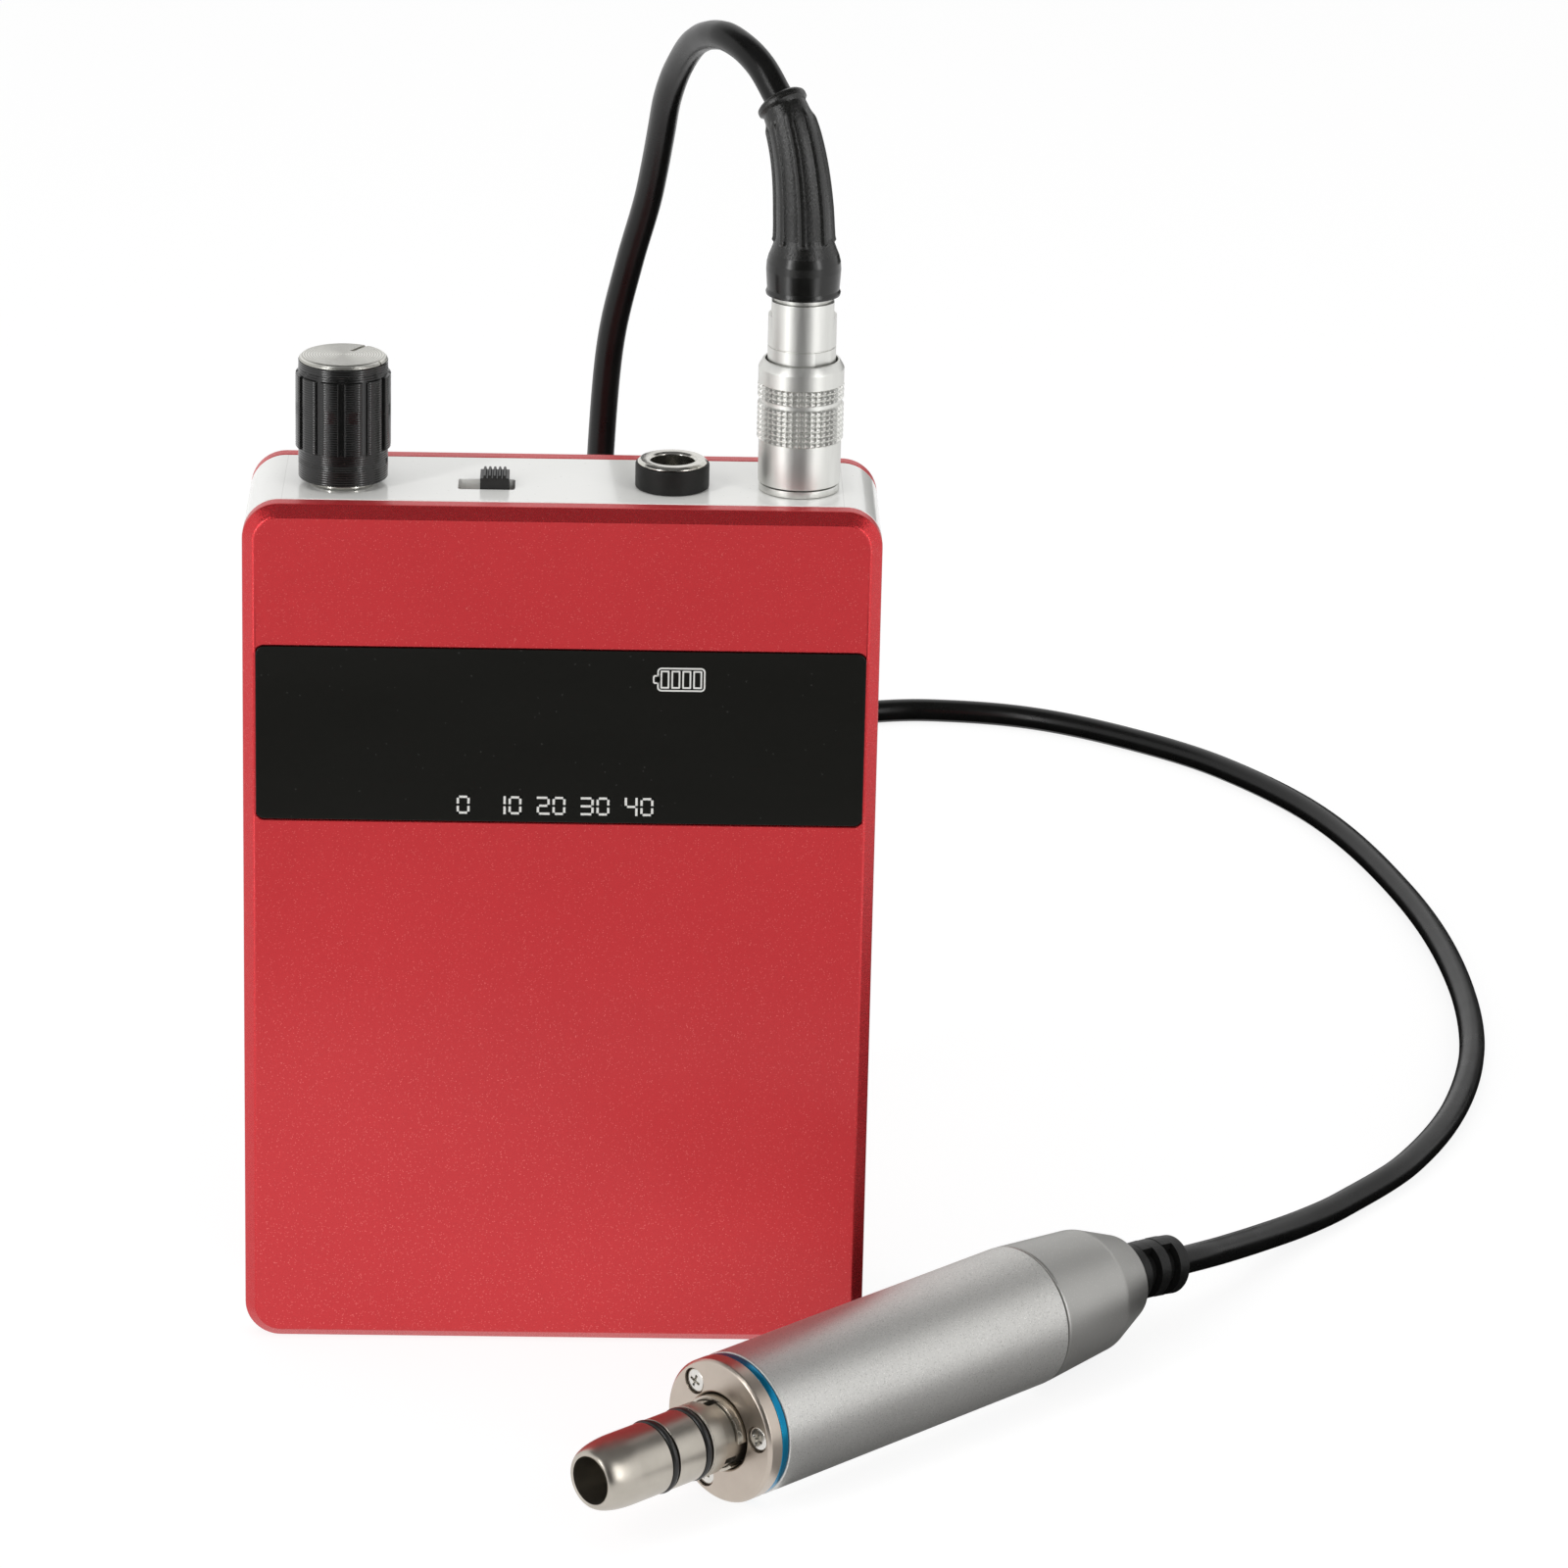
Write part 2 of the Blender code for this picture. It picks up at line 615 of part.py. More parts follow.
def centre_frame():
    """The white plastic band, with screw posts inside and the control holes in its top wall."""
    material = finish("gloss_white_plastic", (0.85, 0.85, 0.84), 0.2)
    bm = rounded_box("centre_frame", CASE_WIDTH, CASE_HEIGHT, FRAME_DEPTH, 0)
    bm.normal_update()
    ends = faces_towards(bm, 1) + faces_towards(bm, -1)
    bmesh.ops.delete(bm, geom=ends, context="FACES_ONLY")
    band = place("centre_frame", mesh_of(bm, "centre_frame"), material)
    shell(band, FRAME_WALL)
    half = FRAME_DEPTH / 2
    posts = across(screw_places(), -half + SEAM_GAP, half - SEAM_GAP)
    join(band, "screw_posts", rod_mesh("screw_posts", POST_RADIUS, posts))
    holes = across(screw_places(), -half - CUT_OVERRUN, half + CUT_OVERRUN)
    hole_radius = SCREW_SHANK_RADIUS + FIT_GAP
    cut(band, "post_holes", rod_mesh("post_holes", hole_radius, holes))
    low = CASE_HEIGHT - FRAME_WALL - CUT_OVERRUN
    high = CASE_HEIGHT + CUT_OVERRUN
    for name, x, radius in (
        ("pot_hole", KNOB_X, bushing_radius() + FIT_GAP),
        ("jack_hole", JACK_X, JACK_NECK_RADIUS + FIT_GAP),
        ("socket_hole", SOCKET_X, SOCKET_NECK_RADIUS + FIT_GAP),
    ):
        span = ((x, COMPONENT_Y, low), (x, COMPONENT_Y, high))
        cut(band, name, rod_mesh(name, radius, [span], TURN_STEPS))
    y = COMPONENT_Y - SLOT_FORWARD
    corner = (SLOT_X - SLOT_LENGTH / 2, y - SLOT_WIDTH / 2, low)
    other = (SLOT_X + SLOT_LENGTH / 2, y + SLOT_WIDTH / 2, high)
    cut(band, "switch_slot", block_mesh("switch_slot", [(corner, other)]))


def cover_screws():
    """Countersunk screws from the rear cover, through the posts, into the front cover's bosses."""
    material = finish("case_screw_steel", (0.55, 0.55, 0.56), 0.3, 1)
    length = CASE_DEPTH / 2 + PLATE_INSIDE - SCREW_SUNK - FIT_GAP
    profile = (
        (0, 0), (SCREW_HEAD_RADIUS, 0), (SCREW_SHANK_RADIUS, -SCREW_HEAD_HEIGHT),
        (SCREW_SHANK_RADIUS, -length), (0, -length),
    )
    for number, (x, z) in enumerate(screw_places(), 1):
        spot = (x, CASE_DEPTH / 2 - SCREW_SUNK, z)
        screw = turned(f"cover_screw_{number}", profile, material, spot, steps=SMALL_TURN_STEPS)
        screw.rotation_euler.x = math.radians(-90)


def battery_cells():
    """Four cylindrical cells in a row, standing on the lower screw posts."""
    material = finish("cell_wrap_blue", (0.05, 0.2, 0.45), 0.35)
    radius = CELL_DIAMETER / 2
    pitch = CELL_DIAMETER + FIT_GAP
    profile = (
        (0, CELL_LENGTH + CELL_CAP_HEIGHT), (CELL_CAP_RADIUS, CELL_LENGTH + CELL_CAP_HEIGHT),
        (CELL_CAP_RADIUS, CELL_LENGTH), (radius, CELL_LENGTH), (radius, 0), (0, 0),
    )
    for index in range(CELL_COUNT):
        x = (index - (CELL_COUNT - 1) / 2) * pitch
        name = f"battery_cell_{index + 1}"
        turned(name, profile, material, (x, 0, cell_floor()), steps=SMALL_TURN_STEPS)


def main_board():
    material = finish("board_green", (0.03, 0.2, 0.08), 0.5)
    place("main_board", block_mesh("main_board", [board_span()]), material)


def display_window():
    """The dark acrylic strip set flush into the front cover."""
    material = finish("smoked_window", (0.012, 0.012, 0.011), 0.12)
    half, low, high = window_recess()
    half, low, high = half - SEAM_GAP, low + SEAM_GAP, high - SEAM_GAP
    middle = (0, -CASE_DEPTH / 2 + WINDOW_THICKNESS / 2, (low + high) / 2)
    bm = bmesh.new()
    size = Matrix.Diagonal((2 * half, WINDOW_THICKNESS, high - low, 1))
    bmesh.ops.create_cube(bm, size=1, matrix=Matrix.Translation(middle) @ size)
    round_window(bm)
    place("display_window", mesh_of(bm, "display_window"), material)


def display_module():
    """The display on its carrier, its glass reaching into the opening behind the window."""
    material = finish("display_glass", (0.03, 0.035, 0.03), 0.3)
    half, low, high = window_opening()
    front = -PLATE_INSIDE + FIT_GAP
    carrier = (
        (-half - MODULE_LAP, front, low - MODULE_LAP),
        (half + MODULE_LAP, front + MODULE_DEPTH, high + MODULE_LAP),
    )
    module = place("display_module", block_mesh("display_module", [carrier]), material)
    glass_front = -CASE_DEPTH / 2 + WINDOW_THICKNESS + FIT_GAP
    glass = (
        (-half + FIT_GAP, glass_front, low + FIT_GAP),
        (half - FIT_GAP, front + MODULE_DEPTH / 2, high - FIT_GAP),
    )
    join(module, "display_face", block_mesh("display_face", [glass]))


def bushing_radius():
    return JOURNAL_RADIUS + FIT_GAP + BUSHING_WALL


def bushing_rise():
    """How far the potentiometer's bushing stands above the band: past its washer and nut."""
    return SEAT_GAP + WASHER_HEIGHT + SEAT_GAP + POT_NUT_HEIGHT + FIT_GAP


def on_band(x):
    return (x, COMPONENT_Y, CASE_HEIGHT)


def potentiometer():
    """Body under the top wall, threaded bushing through it, washer and nut on top."""
    spot = on_band(KNOB_X)
    low = (-POT_WIDTH / 2, -POT_DEPTH / 2, -UNDER_WALL - POT_HEIGHT)
    high = (POT_WIDTH / 2, POT_DEPTH / 2, -UNDER_WALL)
    material = finish("potentiometer_case", (0.1, 0.1, 0.1), 0.5, 0.4)
    body = place("pot_body", block_mesh("pot_body", [(low, high)]), material, spot)
    top = bushing_rise()
    thread = ((0, 0, -UNDER_WALL - POT_HEIGHT / 2), (0, 0, top))
    join(body, "pot_bushing", rod_mesh("pot_bushing", bushing_radius(), [thread], TURN_STEPS))
    bore = ((0, 0, -UNDER_WALL - JOURNAL_DEPTH), (0, 0, top + CUT_OVERRUN))
    cut(body, "pot_bore", rod_mesh("pot_bore", JOURNAL_RADIUS + FIT_GAP, [bore], TURN_STEPS))
    metal = finish("bright_nickel_nut", (0.7, 0.69, 0.66), 0.25, 1)
    hole = bushing_radius() + FIT_GAP
    washer_top = SEAT_GAP + WASHER_HEIGHT
    profile = (
        (hole, washer_top), (WASHER_RADIUS, washer_top), (WASHER_RADIUS, SEAT_GAP), (hole, SEAT_GAP),
    )
    turned("pot_washer", profile, metal, spot, ring=True, steps=SMALL_TURN_STEPS)
    nut_top = washer_top + SEAT_GAP + POT_NUT_HEIGHT
    hex_nut("pot_nut", POT_NUT_FLATS, hole, POT_NUT_HEIGHT, nut_top, metal, spot)


def knob_ceiling():
    """The height inside the knob's shell, under its top."""
    return KNOB_LIFT + KNOB_HEIGHT - KNOB_TOP_THICKNESS


def knob_shell():
    """Turned aluminium shell with its flutes and the mark on its top."""
    top = KNOB_LIFT + KNOB_HEIGHT
    ceiling = knob_ceiling()
    inner = KNOB_RADIUS - KNOB_WALL
    neck = KNOB_RADIUS - KNOB_NECK_STEP
    low_shoulder = KNOB_LIFT + KNOB_LOW_NECK
    high_shoulder = top - KNOB_TOP_NECK
    profile = (
        (0, top), (neck - KNOB_BEVEL, top), (neck, top - KNOB_BEVEL), (neck, high_shoulder),
        (KNOB_RADIUS, high_shoulder), (KNOB_RADIUS, low_shoulder), (neck, low_shoulder),
        (neck, KNOB_LIFT), (inner, KNOB_LIFT), (inner, ceiling), (0, ceiling),
    )
    black = finish("black_anodised_knob", (0.012, 0.012, 0.013), 0.3, 0.8)
    body = turned("knob_shell", profile, black, on_band(KNOB_X), steps=BARREL_STEPS)
    cut(body, "knob_grooves", knob_grooves(low_shoulder, high_shoulder))
    start = neck * KNOB_MARK_START_SHARE
    size = Matrix.Diagonal((neck - start + CUT_OVERRUN, KNOB_MARK_WIDTH, 2 * KNOB_MARK_DEPTH, 1))
    turn = Matrix.Rotation(KNOB_MARK_TURN, 4, "Z")
    middle = Matrix.Translation(((start + neck + CUT_OVERRUN) / 2, 0, top))
    bm = bmesh.new()
    bmesh.ops.create_cube(bm, size=1, matrix=turn @ middle @ size)
    cut(body, "knob_mark", mesh_of(bm, "knob_mark"))


def knob_grooves(low, high):
    """The flutes, evenly spaced round the knob between two heights."""
    size = Matrix.Diagonal((2 * KNOB_GROOVE_DEPTH, KNOB_GROOVE_WIDTH, high - low + KNOB_NECK_STEP, 1))
    middle = Matrix.Translation((KNOB_RADIUS, 0, (low + high) / 2))
    bm = bmesh.new()
    for index in range(KNOB_GROOVES):
        turn = Matrix.Rotation(2 * math.pi * index / KNOB_GROOVES, 4, "Z")
        bmesh.ops.create_cube(bm, size=1, matrix=turn @ middle @ size)
    return mesh_of(bm, "knob_grooves")


def knob_core():
    """Plastic insert in the knob's shell, pressed on the potentiometer's shaft."""
    spot = on_band(KNOB_X)
    inner = KNOB_RADIUS - KNOB_WALL
    insert_top = knob_ceiling() - FIT_GAP
    shaft_top = insert_top - INSERT_CAP - FIT_GAP
    insert_bottom = bushing_rise() + FIT_GAP
    bore = SHAFT_RADIUS + FIT_GAP
    profile = (
        (0, insert_top), (inner - FIT_GAP, insert_top), (inner - FIT_GAP, insert_bottom),
        (bore, insert_bottom), (bore, shaft_top + FIT_GAP), (0, shaft_top + FIT_GAP),
    )
    plastic = finish("knob_insert_plastic", (0.05, 0.05, 0.05), 0.6)
    turned("knob_insert", profile, plastic, spot, steps=SMALL_TURN_STEPS)
    foot = -UNDER_WALL - JOURNAL_DEPTH + FIT_GAP
    profile = (
        (0, shaft_top), (SHAFT_RADIUS - SHAFT_BEVEL, shaft_top), (SHAFT_RADIUS, shaft_top - SHAFT_BEVEL),
        (SHAFT_RADIUS, insert_bottom), (JOURNAL_RADIUS, insert_bottom), (JOURNAL_RADIUS, foot), (0, foot),
    )
    metal = finish("shaft_aluminium", (0.7, 0.7, 0.7), 0.35, 1)
    turned("pot_shaft", profile, metal, spot, steps=SMALL_TURN_STEPS)


def switch_body():
    """Slide switch under its slot in the band, against the main board."""
    y = COMPONENT_Y - SLOT_FORWARD
    half = SLOT_LENGTH / 2
    rear = board_span()[0][1] - FIT_GAP - y
    low = (-half - SWITCH_END_WALL, -SLOT_WIDTH / 2 - SWITCH_FRONT_WALL, -UNDER_WALL - SWITCH_HEIGHT)
    high = (half + SWITCH_END_WALL, rear, -UNDER_WALL)
    material = finish("switch_beige", (0.45, 0.36, 0.26), 0.55)
    mesh = block_mesh("switch_body", [(low, high)])
    body = place("switch_body", mesh, material, (SLOT_X, y, CASE_HEIGHT))
    side = STEM_WIDTH / 2 + FIT_GAP
    pocket_floor = -UNDER_WALL - STEM_DEPTH - FIT_GAP
    pocket = ((-half, -side, pocket_floor), (half, side, -UNDER_WALL + CUT_OVERRUN))
    cut(body, "switch_pocket", block_mesh("switch_pocket", [pocket]))


def switch_lever():
    """The ribbed lever that stands out of the slot, on the switch's stem."""
    width = SLOT_WIDTH / 2 - LEVER_SIDE_GAP
    crown = ((-LEVER_LENGTH / 2, -width, -LEVER_SUNK), (LEVER_LENGTH / 2, width, LEVER_RISE))
    black = finish("switch_lever_plastic", (0.015, 0.015, 0.016), 0.45)
    spot = (SLOT_X + LEVER_TRAVEL / 2, COMPONENT_Y - SLOT_FORWARD, CASE_HEIGHT)
    lever = place("switch_lever", block_mesh("switch_lever", [crown]), black, spot)
    stem_foot = -UNDER_WALL - STEM_DEPTH
    stem = ((-STEM_LENGTH / 2, -STEM_WIDTH / 2, stem_foot), (STEM_LENGTH / 2, STEM_WIDTH / 2, 0))
    join(lever, "lever_stem", block_mesh("lever_stem", [stem]))
    cuts = []
    for index in range(LEVER_GROOVES):
        x = (index - (LEVER_GROOVES - 1) / 2) * LEVER_PITCH
        cuts.append((
            (x - LEVER_GROOVE_WIDTH / 2, -width - CUT_OVERRUN, LEVER_RISE - LEVER_GROOVE_DEPTH),
            (x + LEVER_GROOVE_WIDTH / 2, width + CUT_OVERRUN, LEVER_RISE + CUT_OVERRUN),
        ))
    cut(lever, "lever_grooves", block_mesh("lever_grooves", cuts))


def charging_socket():
    """Black jack body with its nickel rim, centre pin and the nut that holds it in the band."""
    spot = on_band(JACK_X)
    sleeve = JACK_BORE_RADIUS + JACK_SLEEVE_WALL
    bore = sleeve + FIT_GAP
    floor = -JACK_DEPTH + JACK_FLOOR
    pin_hole = PIN_RADIUS + FIT_GAP
    flange_top = JACK_FLANGE_HEIGHT
    profile = (
        (bore, flange_top), (JACK_FLANGE_RADIUS - JACK_BEVEL, flange_top),
        (JACK_FLANGE_RADIUS, flange_top - JACK_BEVEL), (JACK_FLANGE_RADIUS, SEAT_GAP),
        (JACK_NECK_RADIUS, SEAT_GAP), (JACK_NECK_RADIUS, -JACK_DEPTH), (pin_hole, -JACK_DEPTH),
        (pin_hole, floor), (bore, floor),
    )
    turned("jack_body", profile, finish("jack_black", (0.02, 0.02, 0.02), 0.5), spot, ring=True)
    rim_low = flange_top + SEAT_GAP / 2
    rim_top = rim_low + RIM_HEIGHT
    profile = (
        (JACK_BORE_RADIUS + RIM_LEAD, rim_top), (RIM_RADIUS - RIM_BEVEL, rim_top),
        (RIM_RADIUS, rim_top - RIM_BEVEL), (RIM_RADIUS, rim_low), (sleeve, rim_low),
        (sleeve, floor + FIT_GAP), (JACK_BORE_RADIUS, floor + FIT_GAP),
        (JACK_BORE_RADIUS, rim_top - RIM_LEAD),
    )
    metal = finish("jack_nickel", (0.75, 0.74, 0.7), 0.2, 1)
    turned("jack_bushing", profile, metal, spot, ring=True)
    pin_top = rim_top - PIN_SUNK
    profile = (
        (0, pin_top), (PIN_RADIUS / 2, pin_top), (PIN_RADIUS, pin_top - PIN_RADIUS / 2),
        (PIN_RADIUS, -JACK_DEPTH), (0, -JACK_DEPTH),
    )
    turned("jack_pin", profile, metal, spot, steps=SMALL_TURN_STEPS)
    hole = JACK_NECK_RADIUS + FIT_GAP
    nut_top = -FRAME_WALL - SEAT_GAP
    hex_nut("jack_nut", JACK_NUT_FLATS, hole, PANEL_NUT_HEIGHT, nut_top, metal, spot)


def plug_tube_radius():
    """The plug's front tube, which slides into the panel socket."""
    return SOCKET_NECK_RADIUS - SOCKET_WALL - FIT_GAP


def cord_socket(metal, dark):
    """Panel socket with its ring on the band, its nut under it and its contact insert."""
    spot = on_band(SOCKET_X)
    ring_top = SEAT_GAP + SOCKET_RING_HEIGHT
    socket_bore = SOCKET_NECK_RADIUS - SOCKET_WALL
    profile = (
        (socket_bore, ring_top), (SOCKET_RING_RADIUS, ring_top), (SOCKET_RING_RADIUS, SEAT_GAP),
        (SOCKET_NECK_RADIUS, SEAT_GAP), (SOCKET_NECK_RADIUS, -SOCKET_DEPTH), (socket_bore, -SOCKET_DEPTH),
    )
    turned("socket_shell", profile, metal, spot, ring=True)
    nut_top = -FRAME_WALL - SEAT_GAP
    hole = SOCKET_NECK_RADIUS + FIT_GAP
    hex_nut("socket_nut", SOCKET_NUT_FLATS, hole, PANEL_NUT_HEIGHT, nut_top, metal, spot)
    contact_top = -PLUG_DEPTH - CONTACT_GAP
    contact_low = -SOCKET_DEPTH + CONTACT_RECESS
    contact_radius = socket_bore - FIT_GAP
    profile = (
        (0, contact_top), (contact_radius, contact_top), (contact_radius, contact_low), (0, contact_low),
    )
    turned("socket_insert", profile, dark, spot, steps=SMALL_TURN_STEPS)


def cord_plug(metal, dark):
    """The plug's barrel with its contact insert."""
    spot = on_band(SOCKET_X)
    tube = plug_tube_radius()
    plug_bore = tube - PLUG_WALL
    neck_top = PLUG_BODY_END + PLUG_NECK_LENGTH
    profile = (
        (plug_bore, neck_top), (PLUG_NECK_RADIUS, neck_top), (PLUG_NECK_RADIUS, PLUG_BODY_END),
        (PLUG_BODY_RADIUS, PLUG_BODY_END), (PLUG_BODY_RADIUS, PLUG_BODY_START), (tube, PLUG_BODY_START),
        (tube, -PLUG_DEPTH), (plug_bore, -PLUG_DEPTH),
    )
    turned("plug_barrel", profile, metal, spot, ring=True)
    core = plug_bore - FIT_GAP
    core_low = -PLUG_DEPTH + CONTACT_RECESS
    profile = ((0, PLUG_CORE_RISE), (core, PLUG_CORE_RISE), (core, core_low), (0, core_low))
    turned("plug_insert", profile, dark, spot, steps=SMALL_TURN_STEPS)


def plug_lock(metal):
    """The plug's knurled sleeve, pulled up against its spring to unlock."""
    spot = on_band(SOCKET_X)
    tube = plug_tube_radius()
    mouth = PLUG_BODY_RADIUS + FIT_GAP
    guide = tube + FIT_GAP
    profile = (
        (mouth, SLEEVE_END), (SLEEVE_LIP_RADIUS, SLEEVE_END), (SLEEVE_TOP_RADIUS, SLEEVE_SHOULDER),
        (SLEEVE_TOP_RADIUS, SLEEVE_KNURL_END), (SLEEVE_KNURL_RADIUS, SLEEVE_KNURL_END),
        (SLEEVE_KNURL_RADIUS, SLEEVE_GROOVE_END), (SLEEVE_GROOVE_RADIUS, SLEEVE_GROOVE_END),
        (SLEEVE_GROOVE_RADIUS, SLEEVE_GROOVE_START), (SLEEVE_KNURL_RADIUS, SLEEVE_GROOVE_START),
        (SLEEVE_KNURL_RADIUS, SLEEVE_KNURL_START), (SLEEVE_PLAIN_RADIUS, SLEEVE_KNURL_START),
        (SLEEVE_PLAIN_RADIUS, SLEEVE_START), (guide, SLEEVE_START), (guide, SLEEVE_FLOOR),
        (mouth, SLEEVE_FLOOR),
    )
    turned("plug_sleeve", profile, metal, spot, ring=True)
    middle = (tube + mouth) / 2
    low = SLEEVE_FLOOR + SEAT_GAP
    high = PLUG_BODY_START - SEAT_GAP
    wire = finish("spring_steel", (0.6, 0.6, 0.6), 0.3, 1)
    coil("sleeve_spring", middle, SPRING_WIRE_RADIUS, low, high, SPRING_TURNS, wire, spot)


def boot_path():
    """The boot's centreline, straight up from the plug and then leaning back with the cord."""
    start = Vector((SOCKET_X, COMPONENT_Y, CASE_HEIGHT + BOOT_START))
    first, second = (Vector(point) for point in cord_line()[:2])
    along = (second - first).normalized()
    end = start + Vector(BOOT_LEAN) - along * FIT_GAP
    pull = start + Vector((0, 0, BOOT_FIRST_PULL))
    push = end - along * BOOT_LAST_PULL
    return start, pull, push, end


def bezier(path, share):
    first, second, third, fourth = path
    rest = 1 - share
    point = (
        first * rest**3 + second * (3 * rest**2 * share) + third * (3 * rest * share**2) + fourth * share**3
    )
    along = (
        (second - first) * (3 * rest**2) + (third - second) * (6 * rest * share)
        + (fourth - third) * (3 * share**2)
    )
    return point, along.normalized()


def plug_boot():
    """Ribbed rubber bend protector over the plug's neck, ending in a small rim."""
    rings = []
    first, last = BOOT_RIDGE_SHARES
    for share, radius_share in BOOT_OUTLINE_SHARES:
        radius = BOOT_SHOULDER_RADIUS * radius_share
        point, along = bezier(boot_path(), share)
        side = Vector((1, 0, 0)) - along * along.x
        side.normalize()
        up = along.cross(side)
        ridge = BOOT_RIDGE_HEIGHT if first < share < last else 0
        ring = []
        for step in range(BOOT_SIDES):
            angle = 2 * math.pi * step / BOOT_SIDES
            reach = radius + ridge * math.cos(BOOT_RIDGES * angle)
            ring.append(point + side * (reach * math.cos(angle)) + up * (reach * math.sin(angle)))
        rings.append(ring)
    boot = loft("plug_boot", rings, finish("boot_rubber", (0.015, 0.015, 0.015), 0.6))
    low = CASE_HEIGHT + BOOT_START
    top = low + BOOT_POCKET_DEPTH
    span = ((SOCKET_X, COMPONENT_Y, low - CUT_OVERRUN), (SOCKET_X, COMPONENT_Y, top))
    radius = PLUG_NECK_RADIUS + FIT_GAP
    cut(boot, "boot_pocket", rod_mesh("boot_pocket", radius, [span], TURN_STEPS))


def smooth_path(points, count):
    """That many points, evenly spaced, on the natural cubic spline through the given ones."""
    knots = np.array(points)
    steps = np.linalg.norm(np.diff(knots, axis=0), axis=1)
    slopes = np.diff(knots, axis=0) / steps[:, None]
    bends = np.zeros_like(knots)
    inner = np.diag(2 * (steps[:-1] + steps[1:])) + np.diag(steps[1:-1], 1) + np.diag(steps[1:-1], -1)
    bends[1:-1] = np.linalg.solve(inner, 6 * np.diff(slopes, axis=0))
    ends = np.concatenate([[0], np.cumsum(steps)])
    found = []
    for place_along in np.linspace(0, ends[-1], count):
        index = min(np.searchsorted(ends, place_along, side="right") - 1, len(steps) - 1)
        step, after, before = steps[index], place_along - ends[index], ends[index + 1] - place_along
        low, high = bends[index], bends[index + 1]
        found.append(
            (low * before**3 + high * after**3) / (6 * step)
            + (knots[index] / step - low * step / 6) * before
            + (knots[index + 1] / step - high * step / 6) * after
        )
    return found


def cord_line():
    """The cord's smooth centreline, no lower than the surface that the object stands on."""
    runs = zip(CORD_ROUTE, CORD_ROUTE[1:])
    length = sum((Vector(end) - Vector(start)).length for start, end in runs)
    points = smooth_path(CORD_ROUTE, round(length / CORD_POINT_SPACING) + 1)
    return [(x, y, max(z, CORD_RADIUS)) for x, y, z in points]


def handpiece_cord():
    """The cord as one tube from the plug's boot to the handpiece's outlet."""
    curve = bpy.data.curves.new("handpiece_cord", "CURVE")
    curve.dimensions = "3D"
    curve.bevel_depth = CORD_RADIUS
    curve.bevel_resolution = 2
    curve.use_fill_caps = True
    route = cord_line()
    line = curve.splines.new("POLY")
    line.points.add(len(route) - 1)
    for point, (x, y, z) in zip(line.points, route):
        point.co = (x, y, z, 1)
    place("handpiece_cord", curve, finish("cord_jacket", (0.012, 0.012, 0.012), 0.4))


def handpiece_axis():
    """An empty at the flange's front face whose Z runs back along the handpiece."""
    axis = bpy.data.objects.new("handpiece_axis", None)
    axis.location = HANDPIECE_FRONT
    axis.rotation_euler = (0, math.radians(90), HANDPIECE_TURN)
    PIECES.objects.link(axis)
    return axis


def spigot_radius():
    """What fits inside the barrel: its spigots, the winding and the boards."""
    return BARREL_RADIUS - BARREL_WALL - FIT_GAP


def spigot_end():
    return FLANGE_THICKNESS + SPIGOT_LENGTH


def flange_bore():
    return NOSE_BASE_RADIUS + FIT_GAP


def flange_land(share):
    """A share of the flange's width, from its bore to its spigot's outside, where its screws fit."""
    return share * (spigot_radius() - flange_bore())


def clamp_turns():
    return [CLAMP_SCREW_FIRST + 2 * math.pi * index / CLAMP_SCREWS for index in range(CLAMP_SCREWS)]


def clamp_place(angle, height=0):
    """A point on the clamp screws' circle; the angle runs from the handpiece's side upwards."""
    circle = flange_bore() + flange_land(CLAMP_CIRCLE_SHARE)
    return (-circle * math.sin(angle), circle * math.cos(angle), height)


def clamp_shank_radius():
    return flange_land(CLAMP_SHANK_SHARE)


def clamp_head_radius():
    return flange_land(CLAMP_HEAD_SHARE)


def clamp_spans(low, high):
    return [(clamp_place(angle, low), clamp_place(angle, high)) for angle in clamp_turns()]


def ring_end():
    return FLANGE_THICKNESS + RING_GAP + RING_WIDTH


def front_flange(axis):
    """Turned flange at the barrel's front, with three holes sunk for its screws."""
    steel = finish("flange_steel", (0.6, 0.56, 0.52), 0.3, 1)
    bore = flange_bore()
    spigot = spigot_radius()
    profile = (
        (bore, spigot_end()), (spigot, spigot_end()), (spigot, FLANGE_THICKNESS),
        (BARREL_RADIUS, FLANGE_THICKNESS), (BARREL_RADIUS, FLANGE_CHAMFER),
        (BARREL_RADIUS - FLANGE_CHAMFER, 0), (bore + FLANGE_LIP, 0), (bore, FLANGE_LIP),
    )
    flange = turned("front_flange", profile, steel, parent=axis, ring=True, steps=BARREL_STEPS)
    hole_radius = clamp_shank_radius() + CLAMP_HOLE_GAP
    holes = clamp_spans(-CUT_OVERRUN, spigot_end() + CUT_OVERRUN)
    cut(flange, "clamp_holes", rod_mesh("clamp_holes", hole_radius, holes))
    sink_radius = clamp_head_radius() + CLAMP_HOLE_GAP
    sinks = clamp_spans(-CUT_OVERRUN, CLAMP_SINK)
    cut(flange, "clamp_sinks", rod_mesh("clamp_sinks", sink_radius, sinks))


def blue_ring(axis):
    start, end = FLANGE_THICKNESS + RING_GAP, ring_end()
    outer = BARREL_RADIUS - RING_SUNK
    bore = spigot_radius() + RING_INNER_GAP
    profile = ((bore, end), (outer, end), (outer, start), (bore, start))
    blue = finish("blue_ring_anodised", (0.01, 0.2, 0.32), 0.25, 0.5)
    turned("blue_ring", profile, blue, parent=axis, ring=True)


